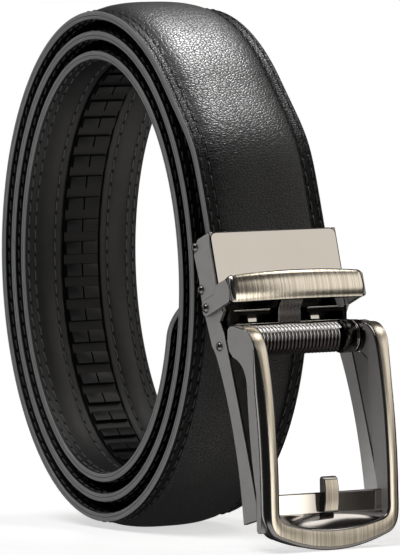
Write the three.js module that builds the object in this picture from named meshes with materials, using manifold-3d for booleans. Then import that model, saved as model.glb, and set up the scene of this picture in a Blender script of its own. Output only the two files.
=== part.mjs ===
// Ratchet belt: a black leather strap, coiled up, with an open-frame automatic buckle on its end.
// Millimetres, +Z up. X runs across the belt, the buckle faces -Y, and the coil and the frame's
// lower bar stand on z = 0. The origin is under the middle of the whole belt's box.
import * as THREE from "three";
import { mergeVertices } from "three/addons/utils/BufferGeometryUtils.js";
import Module from "manifold-3d";

// Driving dimensions: strap
const STRAP_WIDTH = 35; // across the belt
const EDGE_THICKNESS = 2.2; // leather and lining at the stitched edges
const DOME_RISE = 2.2; // how far the padded middle stands above the edges
const CLAMPED_DOME_RISE = 0.9; // the same, pressed flat under the clamp plate
const TIP_LENGTH = 13; // rounded free end
const TIP_END_SHARE = 0.3; // width that is left at the very end of the tip
const CHANNEL_WIDTH = 11.8; // gap between the two halves of the lining, for the track
const CHANNEL_DEPTH = 0.8;
const TRACK_SIDE_GAP = 0.7; // between the track and each half of the lining
const TRACK_TEETH = 38;
const TOOTH_PITCH = 6.35;
const TOOTH_BLOCK_SHARE = 0.6; // raised part of each pitch
const TOOTH_HEIGHT = 0.9; // above the track's own flat
const TRACK_END_MARGIN = 24; // bare lining between the tip and the first tooth

// Driving dimensions: coil, as the strap's outer edge line
const COIL_HALF_DEPTH = 56.85;
const COIL_HALF_HEIGHT = 70.7;
const FRONT_GAP = 1.2; // between one turn and the next, at the front and back
const TOP_GAP = 0.9; // the same, at the top and bottom
const COIL_TURNS = 2.99;
const COIL_SETBACK = 2.25; // how far the clamped stretch's start stands behind the coil's front
const LEAVE_TURN = 0.13; // share of a turn where the strap has reached the coil
const LEAVE_EASE = 0.54; // how long the strap keeps its two end directions on its way there
const CLAMP_TILT = 16.3; // degrees that the clamped stretch leans back
const CLAMP_ABOVE_PIN = 30.7; // from the hinge pin up to the clamped stretch's start
const CLAMPED_LENGTH = 19.2;
const PRESSED_FADE = 6; // length over which the flattened middle rises again above the clamp
const REST_FLAT = 0.2; // how far the leather is pressed flat where the coil stands

// Driving dimensions: buckle
const CLEARANCE = 0.3; // between pieces that touch
const PLATE = 1.2; // sheet thickness of the base, keeper arms and chassis
const EAR_THICKNESS = 2.2; // of the frame's two side plates
const FRAME_BAR = 3.8; // width of the frame's side bars across the belt
const FRAME_TOP = 57.4; // height of the frame's ears above its lower bar
const FRAME_REACH = 16.3; // from the hinge pin forward to the lower bar's face
const FRAME_DEPTH = 5.6; // front to back at the lower bar
const BOTTOM_SAG = 5.2; // how far the lower bar's outer edge dips between its corners
const BOTTOM_BAR_HEIGHT = 5.4; // lower bar, seen from the front, at its middle
const INNER_SAG = 4.2;
const EAR_RADIUS = 4.1;
const PIN_RADIUS = 1.0;
const PIN_TO_STRAP = 15.8; // pin to the clamped stretch's start, front to back
const EAR_SOCKET = 1.3; // depth of the blind pin hole in each ear
const CLAMP_PLATE_START = 3.8; // down the strap from the clamped stretch's start
const CLAMP_PLATE_LENGTH = 16.7;
const CLAMP_PLATE_THICKNESS = 1.1;
const CLAMP_PLATE_CORNER = 2.2;
const JAW_THICKNESS = 2.2;
const JAW_BARREL = 1.9; // radius of the rolls around the jaw's two pins
const JAW_TEETH = 5;
const JAW_TOOTH_PITCH = 2.4;
const JAW_TOOTH_HEIGHT = 0.4;
const KEEPER_STANDOFF = 7.2; // room for the belt's free end, in front of the clamp plate
const KEEPER_BAR = 2.2; // thickness at the middle of the bar
const KEEPER_START = 17.2; // down the strap, like the clamp plate's start
const KEEPER_HEIGHT = 7.2;
const KEEPER_ARM = 1.0; // thickness of its two arms
const SPRING_RADIUS = 4.0;
const PAWL_THICKNESS = 1.2;
const TONGUE_HALF = 3.3;
const RIVET_HEAD_RADIUS = 1.2;
const RIVET_HEAD_RISE = 0.7;
const RIVET_SHANK_RADIUS = 0.7;
const PRONG_WIDTH = 4.2;
const PRONG_HEIGHT = 9.3;

// Sizes that follow from them
const STRAP_HALF = STRAP_WIDTH / 2;
const STRAP_THICKNESS = EDGE_THICKNESS + DOME_RISE;
const TRACK_WIDTH = CHANNEL_WIDTH - 2 * TRACK_SIDE_GAP;
const DEPTH_LOSS = STRAP_THICKNESS + FRONT_GAP; // half depth lost in each turn
const HEIGHT_LOSS = STRAP_THICKNESS + TOP_GAP; // half height lost in each turn
const BASE_INNER = STRAP_HALF + CLEARANCE; // inner faces of the base's side plates
const BASE_OUTER = BASE_INNER + PLATE;
const CHASSIS_OUTER = BASE_INNER - CLEARANCE;
const CHASSIS_INNER = CHASSIS_OUTER - PLATE;
const HUB_OUTER = CHASSIS_INNER - CLEARANCE; // what turns on the pin between the chassis flanges
const FRAME_HALF_WIDTH = BASE_INNER + EAR_THICKNESS;
const FRAME_FRONT = -FRAME_REACH;
const FRAME_BACK = FRAME_FRONT + FRAME_DEPTH;
const PIN_HEIGHT = FRAME_TOP - EAR_RADIUS;
const PIN_HOLE = PIN_RADIUS + CLEARANCE;
const CLAMP_INNER = CLAMPED_DOME_RISE + CLEARANCE; // out from the strap's edge line
const CLAMP_OUTER = CLAMP_INNER + CLAMP_PLATE_THICKNESS;
const CLAMP_PLATE_END = CLAMP_PLATE_START + CLAMP_PLATE_LENGTH;
const JAW_FACE = -EDGE_THICKNESS - CLEARANCE; // tooth tips, just clear of the lining
const COIL_CENTRE_Y = PIN_TO_STRAP + COIL_SETBACK + COIL_HALF_DEPTH;
const LOWEST_TURN = 0.75; // where the outer turn touches the floor
const COIL_CENTRE_Z = DOME_RISE - REST_FLAT + COIL_HALF_HEIGHT - LOWEST_TURN * HEIGHT_LOSS;
const ROUND_SIDES = 16;
const PAST_SIDES = 2 * STRAP_WIDTH; // reaches past both sides, for cuts right across

const wasm = await Module();
wasm.setup();

// Solids: three.js shapes to manifold-3d and back

function toSolid(geometry) {
  const bare = geometry.index ? geometry.toNonIndexed() : geometry.clone();
  bare.deleteAttribute("normal");
  bare.deleteAttribute("uv");
  const merged = mergeVertices(bare, 1e-4);
  const build = (indices) =>
    new wasm.Manifold(
      new wasm.Mesh({
        numProp: 3,
        vertProperties: new Float32Array(merged.attributes.position.array),
        triVerts: new Uint32Array(indices),
      }),
    );
  const indices = Array.from(merged.index.array);
  const solid = build(indices);
  return solid.volume() > 0 ? solid : build(indices.reverse());
}

function toGeometry(solid) {
  const mesh = solid.getMesh();
  const positions = new Float32Array((mesh.vertProperties.length / mesh.numProp) * 3);
  for (let i = 0; i < positions.length / 3; i++)
    for (let axis = 0; axis < 3; axis++)
      positions[3 * i + axis] = mesh.vertProperties[mesh.numProp * i + axis];
  const geometry = new THREE.BufferGeometry();
  geometry.setAttribute("position", new THREE.BufferAttribute(positions, 3));
  geometry.setIndex(Array.from(mesh.triVerts));
  geometry.computeVertexNormals();
  return geometry;
}

// A closed outline of [y, z] points, or a Shape in y and z, pushed along X from x0 to x1.
function plate(outline, x0, x1) {
  const shape = outline instanceof THREE.Shape
    ? outline
    : new THREE.Shape(outline.map(([y, z]) => new THREE.Vector2(y, z)));
  const options = { depth: x1 - x0, bevelEnabled: false, curveSegments: 10 };
  const geometry = new THREE.ExtrudeGeometry(shape, options);
  const turned = new THREE.Matrix4().makeBasis(
    new THREE.Vector3(0, 1, 0),
    new THREE.Vector3(0, 0, 1),
    new THREE.Vector3(1, 0, 0),
  );
  return toSolid(geometry.applyMatrix4(turned).translate(x0, 0, 0));
}

// A round bar along X.
function barAlongX(radius, x0, x1, y, z, sides = ROUND_SIDES) {
  const geometry = new THREE.CylinderGeometry(radius, radius, x1 - x0, sides);
  return toSolid(geometry.rotateZ(Math.PI / 2).translate((x0 + x1) / 2, y, z));
}

// A box from its lowest to its highest corner.
function block(low, high) {
  const size = high.map((value, axis) => value - low[axis]);
  const geometry = new THREE.BoxGeometry(...size);
  return toSolid(geometry.translate(...low.map((value, axis) => value + size[axis] / 2)));
}

// A closed skin over rings of equally many [x, y, z] points, with flat ends.
function loft(rings) {
  const count = rings[0].length;
  const positions = rings.flat(2);
  const indices = [];
  for (let ring = 0; ring + 1 < rings.length; ring++)
    for (let i = 0; i < count; i++) {
      const a = ring * count + i;
      const b = ring * count + ((i + 1) % count);
      indices.push(a, b, b + count, a, b + count, a + count);
    }
  const cap = (ring, flip) => {
    const flat = flatten(rings[ring]);
    for (const [a, b, c] of THREE.ShapeUtils.triangulateShape(flat, [])) {
      const face = [a, b, c].map((i) => i + ring * count);
      indices.push(...(flip ? face.reverse() : face));
    }
  };
  const clockwise = THREE.ShapeUtils.isClockWise(flatten(rings[0]));
  cap(0, !clockwise);
  cap(rings.length - 1, clockwise);
  const geometry = new THREE.BufferGeometry();
  geometry.setAttribute("position", new THREE.BufferAttribute(new Float32Array(positions), 3));
  geometry.setIndex(indices);
  return toSolid(geometry);
}

// A flat ring's points in two axes of its own plane.
function flatten(ring) {
  const points = ring.map((point) => new THREE.Vector3(...point));
  const spread = (axis) =>
    Math.max(...ring.map((p) => p[axis])) - Math.min(...ring.map((p) => p[axis]));
  const first = spread(0) > 1e-6 ? new THREE.Vector3(1, 0, 0) : new THREE.Vector3(0, 1, 0);
  const normal = new THREE.Vector3();
  points.forEach((point, i) => {
    normal.add(new THREE.Vector3().crossVectors(point, points[(i + 1) % points.length]));
  });
  const second = new THREE.Vector3().crossVectors(normal.normalize(), first);
  return points.map((point) => new THREE.Vector2(point.dot(first), point.dot(second)));
}

const bothSides = (solid) => solid.add(solid.mirror([1, 0, 0]));

// The strap's path: its outer edge line in y and z, from the clamped end to the tip

// A spiral whose half depth and half height shrink evenly; turn 0 is at the front, and the strap
// climbs over the top.
function coilPoint(turn) {
  const angle = 2 * Math.PI * turn;
  const halfDepth = COIL_HALF_DEPTH - DEPTH_LOSS * turn;
  const halfHeight = COIL_HALF_HEIGHT - HEIGHT_LOSS * turn;
  return new THREE.Vector3(
    0,
    COIL_CENTRE_Y - halfDepth * Math.cos(angle),
    COIL_CENTRE_Z + halfHeight * Math.sin(angle),
  );
}

const tilt = THREE.MathUtils.degToRad(CLAMP_TILT);
const strapUp = new THREE.Vector3(0, Math.sin(tilt), Math.cos(tilt));
const strapOut = new THREE.Vector3(0, -strapUp.z, strapUp.y);
const clampStart = new THREE.Vector3(0, PIN_TO_STRAP, PIN_HEIGHT + CLAMP_ABOVE_PIN);

// From the clamped stretch to the coil, in one smooth bend.
const leaving = (() => {
  const end = coilPoint(LEAVE_TURN);
  const direction = coilPoint(LEAVE_TURN + 0.001).sub(end).normalize();
  const ease = LEAVE_EASE * clampStart.distanceTo(end);
  return new THREE.CubicBezierCurve3(
    clampStart,
    clampStart.clone().addScaledVector(strapUp, ease),
    end.clone().addScaledVector(direction, -ease),
    end,
  );
})();

// A point of the clamped stretch's own frame: down the strap, and out from its outer edge line.
const atClamp = (down, out) => {
  const point = clampStart.clone().addScaledVector(strapUp, -down).addScaledVector(strapOut, out);
  return [point.y, point.z];
};

class StrapPath extends THREE.Curve {
  constructor() {
    super();
    this.arcLengthDivisions = 1500;
    this.straightEnd = 0.02; // shares where the stretches meet
    this.leavingEnd = 0.06;
  }

  getPoint(share, target = new THREE.Vector3()) {
    const done = (start, end) => (share - start) / (end - start);
    if (share < this.straightEnd) {
      const down = CLAMPED_LENGTH * (1 - done(0, this.straightEnd));
      return target.copy(clampStart).addScaledVector(strapUp, -down);
    }
    if (share < this.leavingEnd)
      return target.copy(leaving.getPoint(done(this.straightEnd, this.leavingEnd)));
    const coiled = done(this.leavingEnd, 1);
    return target.copy(coilPoint(LEAVE_TURN + coiled * (COIL_TURNS - LEAVE_TURN)));
  }
}

const strapPath = new StrapPath();
const STRAP_LENGTH = strapPath.getLength();

// A point on the strap: length along it, x across it and height above the lining.
function onStrap(length, x, height) {
  const share = THREE.MathUtils.clamp(length / STRAP_LENGTH, 0, 1);
  const centre = strapPath.getPointAt(share);
  const along = strapPath.getTangentAt(share);
  const out = height - EDGE_THICKNESS;
  return [x, centre.y - along.z * out, centre.z + along.y * out];
}

// Lengths from start to end in even steps of at most one step.
function stations(start, end, step) {
  const count = Math.ceil((end - start) / step);
  return Array.from({ length: count + 1 }, (_, i) => start + ((end - start) * i) / count);
}

// Strap

const STRAP_SECTION = [
  { halfWidthShare: 0.985, height: 0 },
  { halfWidthShare: 1, height: 0.3 },
  { halfWidthShare: 1, height: EDGE_THICKNESS - 0.4 },
  { halfWidthShare: 0.98, height: EDGE_THICKNESS },
  { halfWidthShare: 0.76, height: EDGE_THICKNESS, domeShare: 0.05 },
  { halfWidthShare: 0.62, height: EDGE_THICKNESS, domeShare: 0.6 },
  { halfWidthShare: 0.46, height: EDGE_THICKNESS, domeShare: 0.9 },
  { halfWidthShare: 0.18, height: EDGE_THICKNESS, domeShare: 1 },
];

function strapRing(length) {
  const tip = Math.max(0, (length - (STRAP_LENGTH - TIP_LENGTH)) / TIP_LENGTH);
  const reach = Math.sqrt(1 - TIP_END_SHARE * TIP_END_SHARE);
  const half = STRAP_HALF * Math.sqrt(1 - (tip * reach) ** 2);
  const fadeEnd = CLAMPED_LENGTH + PRESSED_FADE;
  const pressed = 1 - THREE.MathUtils.smoothstep(length, CLAMPED_LENGTH, fadeEnd);
  const rise = THREE.MathUtils.lerp(DOME_RISE, CLAMPED_DOME_RISE, pressed) * (1 - tip ** 4);
  const side = STRAP_SECTION.map((row) => ({
    x: half * row.halfWidthShare,
    height: row.height + (row.domeShare ?? 0) * rise,
  }));
  const ring = [...side, ...side.map((p) => ({ x: -p.x, height: p.height })).reverse()];
  return ring.map((point) => onStrap(length, point.x, point.height));
}

const TRACK_LENGTH = TRACK_TEETH * TOOTH_PITCH;
const TRACK_END = STRAP_LENGTH - TRACK_END_MARGIN;
const TRACK_START = TRACK_END - TRACK_LENGTH;

function strap() {
  const body = stations(0, STRAP_LENGTH - TIP_LENGTH, 9);
  const tip = [0.3, 0.55, 0.75, 0.9, 1].map((share) => STRAP_LENGTH - TIP_LENGTH * (1 - share));
  const leather = loft([...body, ...tip].map(strapRing));
  const half = CHANNEL_WIDTH / 2;
  const groove = stations(TRACK_START - 2, TRACK_END + 2, 6).map((length) => [
    onStrap(length, -half, -1),
    onStrap(length, half, -1),
    onStrap(length, half, CHANNEL_DEPTH),
    onStrap(length, -half, CHANNEL_DEPTH),
  ]);
  const floor = block([-STRAP_WIDTH, -COIL_CENTRE_Y, -5], [STRAP_WIDTH, 3 * COIL_CENTRE_Y, 0]);
  return leather.subtract(loft(groove)).subtract(floor);
}

// The toothed strip: a low flat with a raised block on each pitch, highest at its far end.
function ratchetTrack() {
  const half = TRACK_WIDTH / 2;
  const back = CHANNEL_DEPTH - CLEARANCE;
  const flat = -0.1;
  const ring = (length, height) => [
    onStrap(length, -half, height),
    onStrap(length, half, height),
    onStrap(length, half, back),
    onStrap(length, -half, back),
  ];
  const rings = [];
  for (let tooth = 0; tooth < TRACK_TEETH; tooth++) {
    const start = TRACK_START + tooth * TOOTH_PITCH;
    const block = TOOTH_BLOCK_SHARE * TOOTH_PITCH;
    rings.push(ring(start + 0.05, flat));
    rings.push(ring(start + 0.35, flat - 0.6 * TOOTH_HEIGHT));
    rings.push(ring(start + block, flat - TOOTH_HEIGHT));
    rings.push(ring(start + block + 0.2, flat));
  }
  return loft(rings);
}

// Rivets and pins, as [y, z] places

const PIN = [0, PIN_HEIGHT];
const JAW_PINS = [
  atClamp(CLAMP_PLATE_START + 2.1, JAW_FACE - 3.2),
  atClamp(CLAMP_PLATE_END - 3.4, JAW_FACE - 3.5),
];
const KEEPER_RIVET = atClamp(CLAMP_PLATE_END + 2.1, -3.2);
const ARM_RIVET = [7.9, PIN_HEIGHT - 1.6];

const holeAcross = (radius, [y, z]) => barAlongX(radius, -PAST_SIDES, PAST_SIDES, y, z);
const shankHole = (place) => holeAcross(RIVET_SHANK_RADIUS + CLEARANCE, place);
const pinHole = holeAcross(PIN_HOLE, PIN);

// A domed head on a plate's outer face at x, bulging towards +X.
function rivetHead(x, [y, z]) {
  const profile = [
    [0, 0],
    [1, 0],
    [0.94, 0.45],
    [0.65, 0.85],
    [0, 1],
  ].map(([r, rise]) => new THREE.Vector2(r * RIVET_HEAD_RADIUS, rise * RIVET_HEAD_RISE));
  const geometry = new THREE.LatheGeometry(profile, 12);
  return toSolid(geometry.rotateZ(-Math.PI / 2).translate(x, y, z));
}

// A short rivet on the +X side: head on the outer plate, shank through to the inner one.
function rivet(outerFace, innerFace, place) {
  const seat = outerFace + 0.05;
  const shank = barAlongX(RIVET_SHANK_RADIUS, innerFace, seat + 0.1, ...place, 12);
  return rivetHead(seat, place).add(shank);
}

// A rod right across the belt, with a head at each end.
function crossPin(place) {
  const seat = BASE_OUTER + 0.05;
  const rod = barAlongX(RIVET_SHANK_RADIUS, -seat - 0.1, seat + 0.1, ...place, 12);
  return bothSides(rivetHead(seat, place)).add(rod);
}

// Base channel: clamp plate, side plates with long arms, and the bar that joins the arms' ends

const ARM = {
  backTop: [PIN_TO_STRAP + 0.5, PIN_HEIGHT + 7.5],
  backWaist: [12.2, PIN_HEIGHT - 1.5],
  backBelow: [10, PIN_HEIGHT - 4.2],
  backPull: [0.1, 0.582 * PIN_HEIGHT],
  backFoot: [FRAME_BACK + 8.2, 0.122 * PIN_HEIGHT],
  frontFoot: [FRAME_BACK + 1.4, 0.152 * PIN_HEIGHT],
  frontHeel: [FRAME_BACK + 1.5, 0.235 * PIN_HEIGHT],
  frontPull: [-3.8, 0.563 * PIN_HEIGHT],
  frontNeck: [5.6, PIN_HEIGHT + 2.1],
  frontNotch: [8, PIN_HEIGHT + 4.7],
  frontTop: [6.2, PIN_HEIGHT + 7.4],
};
const FOOT_BAR = { front: FRAME_BACK + 2.3, depth: 3, bottom: ARM.frontFoot[1] + 0.3, height: 3.2 };

function baseSideOutline() {
  const shape = new THREE.Shape();
  shape.moveTo(...atClamp(CLAMP_PLATE_START, CLAMP_OUTER));
  shape.lineTo(...atClamp(CLAMP_PLATE_START + 0.3, JAW_FACE - 1.7));
  shape.lineTo(...atClamp(CLAMP_PLATE_START + 3.8, JAW_FACE - 4.7));
  shape.lineTo(...atClamp(CLAMP_PLATE_END - 6.2, JAW_FACE - 4.1));
  shape.lineTo(...atClamp(CLAMP_PLATE_END - 1.1, JAW_FACE - 4.5));
  shape.lineTo(...ARM.backTop);
  shape.lineTo(...ARM.backWaist);
  shape.lineTo(...ARM.backBelow);
  shape.quadraticCurveTo(...ARM.backPull, ...ARM.backFoot);
  shape.lineTo(...ARM.frontFoot);
  shape.lineTo(...ARM.frontHeel);
  shape.quadraticCurveTo(...ARM.frontPull, ...ARM.frontNeck);
  shape.lineTo(...ARM.frontNotch);
  shape.lineTo(...ARM.frontTop);
  shape.lineTo(...atClamp(CLAMP_PLATE_END, CLAMP_OUTER));
  return shape;
}

// A rounded plate across the belt, lying between two distances out from the strap's edge line.
function clampPlate() {
  const shape = new THREE.Shape();
  const half = BASE_OUTER;
  const corner = CLAMP_PLATE_CORNER;
  shape.moveTo(-half, CLAMP_PLATE_END);
  shape.lineTo(-half, CLAMP_PLATE_START + corner);
  shape.quadraticCurveTo(-half, CLAMP_PLATE_START, -half + corner, CLAMP_PLATE_START);
  shape.lineTo(half - corner, CLAMP_PLATE_START);
  shape.quadraticCurveTo(half, CLAMP_PLATE_START, half, CLAMP_PLATE_START + corner);
  shape.lineTo(half, CLAMP_PLATE_END);
  const options = { depth: CLAMP_PLATE_THICKNESS, bevelEnabled: false, curveSegments: 6 };
  const geometry = new THREE.ExtrudeGeometry(shape, options);
  const down = strapUp.clone().negate();
  const across = new THREE.Vector3().crossVectors(down, strapOut);
  const turned = new THREE.Matrix4().makeBasis(across, down, strapOut);
  const [y, z] = atClamp(0, CLAMP_INNER);
  return toSolid(geometry.applyMatrix4(turned).translate(0, y, z));
}

function baseChannel() {
  const side = plate(baseSideOutline(), BASE_INNER, BASE_OUTER);
  const reach = BASE_INNER + 0.1;
  const footBar = block(
    [-reach, FOOT_BAR.front, FOOT_BAR.bottom],
    [reach, FOOT_BAR.front + FOOT_BAR.depth, FOOT_BAR.bottom + FOOT_BAR.height],
  );
  const holes = [...JAW_PINS, KEEPER_RIVET, ARM_RIVET].map(shankHole);
  const whole = bothSides(side).add(clampPlate()).add(footBar);
  return holes.reduce((solid, hole) => solid.subtract(hole), whole);
}

// Clamp jaw: a toothed plate that presses on the strap's lining, on two cross pins

const JAW_HALF = BASE_INNER - CLEARANCE;
const JAW_START = CLAMP_PLATE_START + 1.2;
const JAW_END = CLAMP_PLATE_END - 1.9;

function clampJaw() {
  const back = JAW_FACE - JAW_THICKNESS;
  const root = JAW_FACE - JAW_TOOTH_HEIGHT;
  const outline = [atClamp(JAW_START, back), atClamp(JAW_START, root)];
  for (let tooth = 0; tooth < JAW_TEETH; tooth++) {
    const start = JAW_START + 1 + tooth * JAW_TOOTH_PITCH;
    outline.push(atClamp(start, root));
    outline.push(atClamp(start + 0.5 * JAW_TOOTH_PITCH, JAW_FACE));
    outline.push(atClamp(start + 0.67 * JAW_TOOTH_PITCH, root));
  }
  outline.push(atClamp(JAW_END, root), atClamp(JAW_END, back));
  let jaw = plate(outline, -JAW_HALF, JAW_HALF);
  for (const pin of JAW_PINS) jaw = jaw.add(barAlongX(JAW_BARREL, -JAW_HALF, JAW_HALF, ...pin));
  return JAW_PINS.map(shankHole).reduce((solid, hole) => solid.subtract(hole), jaw);
}

// Keeper: a convex bar across the front, with arms back to its rivets

const KEEPER_ARM_INNER = BASE_OUTER + 0.2;
const KEEPER_HALF = KEEPER_ARM_INNER + KEEPER_ARM;
const KEEPER_BACK = CLAMP_OUTER + KEEPER_STANDOFF;
const KEEPER_FRONT = KEEPER_BACK + KEEPER_BAR;
const KEEPER_END = KEEPER_START + KEEPER_HEIGHT;

function keeper() {
  const shoulder = KEEPER_FRONT - 1.2;
  const bar = [
    atClamp(KEEPER_START, KEEPER_BACK),
    atClamp(KEEPER_START, shoulder),
    atClamp(KEEPER_START + 0.9, KEEPER_FRONT - 0.35),
    atClamp(KEEPER_START + 0.5 * KEEPER_HEIGHT, KEEPER_FRONT),
    atClamp(KEEPER_END - 0.8, KEEPER_FRONT - 0.2),
    atClamp(KEEPER_END, KEEPER_FRONT - 0.9),
    atClamp(KEEPER_END, KEEPER_BACK),
  ];
  const arm = [
    atClamp(KEEPER_START, shoulder),
    atClamp(KEEPER_START, CLAMP_OUTER + 1.3),
    atClamp(KEEPER_START + 2.9, CLAMP_INNER),
    atClamp(KEEPER_START + 3.1, -4.2),
    atClamp(KEEPER_START + 4.2, -5.3),
    atClamp(KEEPER_END - 0.6, -5.3),
    atClamp(KEEPER_END + 0.4, -4.2),
    atClamp(KEEPER_END, KEEPER_BACK),
    atClamp(KEEPER_END, shoulder),
  ];
  const bothArms = bothSides(plate(arm, KEEPER_ARM_INNER, KEEPER_HALF));
  return plate(bar, -KEEPER_HALF, KEEPER_HALF).add(bothArms).subtract(shankHole(KEEPER_RIVET));
}

// Chassis: the bridge under the keeper and the two inner flanges that carry the pin

const BRIDGE = { front: 5, back: 14.8, bottom: PIN_HEIGHT + 6.3, top: PIN_HEIGHT + 7.6 };
const BACK_LIP = { front: BRIDGE.back - PLATE, top: BRIDGE.top + 2.7 }; // bent up along the back edge
const WINDOW = { half: 5.5, back: 10.4 };
const TAB = { inner: 8.1, outer: 10.5, front: 7.6, back: 8.9, bottom: PIN_HEIGHT + 4.5 };

function chassis() {
  const flange = [
    [0.6, PIN_HEIGHT + 4.1],
    [-2, PIN_HEIGHT + 3.6],
    [-3.7, PIN_HEIGHT + 1.9],
    [-4.2, PIN_HEIGHT],
    [-3.7, PIN_HEIGHT - 1.9],
    [-2, PIN_HEIGHT - 3.6],
    [0.6, PIN_HEIGHT - 4.1],
    [10, PIN_HEIGHT - 3.7],
    [13, PIN_HEIGHT + 2.2],
    [15.4, PIN_HEIGHT + 6.6],
    [15, PIN_HEIGHT + 10],
    [11.2, PIN_HEIGHT + 10],
    [9.8, BRIDGE.top],
    [BRIDGE.front, BRIDGE.top],
    [BRIDGE.front, PIN_HEIGHT + 4],
  ];
  const side = plate(flange, CHASSIS_INNER, CHASSIS_OUTER);
  const bridge = block(
    [-CHASSIS_OUTER, BRIDGE.front, BRIDGE.bottom],
    [CHASSIS_OUTER, BRIDGE.back, BRIDGE.top],
  );
  const lip = block(
    [-CHASSIS_OUTER, BACK_LIP.front, BRIDGE.bottom],
    [CHASSIS_OUTER, BRIDGE.back, BACK_LIP.top],
  );
  const window = block(
    [-WINDOW.half, BRIDGE.front - 1, BRIDGE.bottom - 1],
    [WINDOW.half, WINDOW.back, BRIDGE.top + 1],
  );
  const tab = block([TAB.inner, TAB.front, TAB.bottom], [TAB.outer, TAB.back, BRIDGE.bottom + 0.1]);
  return bothSides(side.add(tab))
    .add(bridge)
    .add(lip)
    .subtract(window)
    .subtract(pinHole)
    .subtract(shankHole(KEEPER_RIVET))
    .subtract(shankHole(ARM_RIVET));
}

// Pawl: a plate behind the spring on two hubs, with a tongue up through the bridge's window

const PAWL_FRONT = SPRING_RADIUS + 0.6;
const PAWL = {
  front: PAWL_FRONT,
  back: PAWL_FRONT + PAWL_THICKNESS,
  bottom: PIN_HEIGHT - 3.2,
  top: PIN_HEIGHT + 5.3,
};
const HUB = { right: 4.4, left: 0.9, radius: SPRING_RADIUS + 0.3 };

function pawl() {
  const hub = (x0, x1) =>
    barAlongX(HUB.radius, x0, x1, ...PIN).add(
      block([x0, 0, PAWL.bottom], [x1, PAWL.back, PIN_HEIGHT + 3.5]),
    );
  const tongue = [
    [PAWL.front, PAWL.top - 1],
    [PAWL.front, PIN_HEIGHT + 7.4],
    [3.1, PIN_HEIGHT + 9.8],
    [4, PIN_HEIGHT + 10.6],
    [PAWL.back, PIN_HEIGHT + 7.8],
    [PAWL.back, PAWL.top - 1],
  ];
  return hub(HUB_OUTER - HUB.right, HUB_OUTER)
    .add(hub(-HUB_OUTER, -HUB_OUTER + HUB.left))
    .add(block([-HUB_OUTER, PAWL.front, PAWL.bottom], [HUB_OUTER, PAWL.back, PAWL.top]))
    .add(plate(tongue, -TONGUE_HALF, TONGUE_HALF))
    .subtract(pinHole);
}

// Return spring: the outer shape of its coils, around the pin between the pawl's hubs
function returnSpring() {
  const left = -HUB_OUTER + HUB.left + CLEARANCE;
  const right = HUB_OUTER - HUB.right - CLEARANCE;
  const coils = barAlongX(SPRING_RADIUS, left, right, ...PIN, 20);
  return coils.subtract(pinHole);
}

// Hinge pin: through the chassis, the pawl and the spring, into a blind hole in each ear
function hingePin() {
  const end = BASE_INNER + EAR_SOCKET - CLEARANCE;
  return barAlongX(PIN_RADIUS, -end, end, ...PIN, 12);
}

// Main frame: two side plates with ears, thicker bars along their front, and the lower bar

const SIDE_FOOT = BOTTOM_SAG + 0.4;
const NECK = { y: -7, z: 0.777 * PIN_HEIGHT };
const CURL_END = -5.1; // where the thicker front ends, in front of the pin

// A side's front, from the foot up and back over the top as far as the pin's front.
function frameFront() {
  const shape = new THREE.Shape();
  shape.moveTo(FRAME_FRONT + 1.6, SIDE_FOOT - 0.8);
  shape.lineTo(FRAME_FRONT + 0.6, SIDE_FOOT);
  shape.lineTo(FRAME_FRONT, 0.169 * PIN_HEIGHT);
  shape.lineTo(FRAME_FRONT + 0.1, 0.338 * PIN_HEIGHT);
  shape.quadraticCurveTo(FRAME_FRONT + 0.6, 0.657 * PIN_HEIGHT, FRAME_FRONT + 4, PIN_HEIGHT - 4.3);
  shape.quadraticCurveTo(FRAME_FRONT + 5.7, FRAME_TOP - 0.6, CURL_END, FRAME_TOP - 0.3);
  return shape;
}

// A side's back, from the neck below the ear down to the foot.
function frameBack(shape) {
  shape.quadraticCurveTo(NECK.y - 0.8, 0.488 * PIN_HEIGHT, FRAME_BACK, 0.281 * PIN_HEIGHT);
  shape.lineTo(FRAME_BACK, SIDE_FOOT);
  shape.lineTo(FRAME_BACK - 0.8, SIDE_FOOT - 0.8);
  return shape;
}

function frameSideOutline() {
  const shape = frameFront();
  shape.lineTo(-0.4, FRAME_TOP);
  shape.lineTo(2.3, FRAME_TOP - 0.6);
  shape.lineTo(2.4, PIN_HEIGHT);
  shape.lineTo(1.6, PIN_HEIGHT - 2.6);
  shape.lineTo(-0.2, PIN_HEIGHT - EAR_RADIUS);
  shape.quadraticCurveTo(NECK.y + 0.2, PIN_HEIGHT - 5.6, NECK.y, NECK.z);
  return frameBack(shape);
}

// The thicker front of a side bar, which curls back over the top and ends in front of the pin.
function frameBandOutline() {
  const shape = frameFront();
  shape.lineTo(CURL_END, FRAME_TOP - 2.4);
  shape.quadraticCurveTo(CURL_END - 2.3, FRAME_TOP - 4, NECK.y - 0.6, PIN_HEIGHT - 8);
  shape.lineTo(NECK.y, NECK.z);
  return frameBack(shape);
}

const WALL = { front: FRAME_BACK - 1.2, foot: BOTTOM_BAR_HEIGHT + 3.7, top: BOTTOM_BAR_HEIGHT + 9.1 };
const LOWER_BEVEL = 0.9;

// The lower bar's section at x: it hangs in an arc, its top slopes up to the back wall.
function lowerBarRing(x) {
  const bow = (x / FRAME_HALF_WIDTH) ** 2;
  const outer = BOTTOM_SAG * bow;
  const inner = BOTTOM_BAR_HEIGHT + INNER_SAG * bow;
  const foot = Math.max(WALL.foot, inner + 0.3);
  return [
    [x, FRAME_FRONT, outer + LOWER_BEVEL],
    [x, FRAME_FRONT, inner - 0.5],
    [x, FRAME_FRONT + 0.7, inner],
    [x, WALL.front, foot],
    [x, WALL.front, WALL.top],
    [x, FRAME_BACK, WALL.top],
    [x, FRAME_BACK, outer + LOWER_BEVEL],
    [x, FRAME_BACK - LOWER_BEVEL, outer],
    [x, FRAME_FRONT + LOWER_BEVEL, outer],
  ];
}

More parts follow.
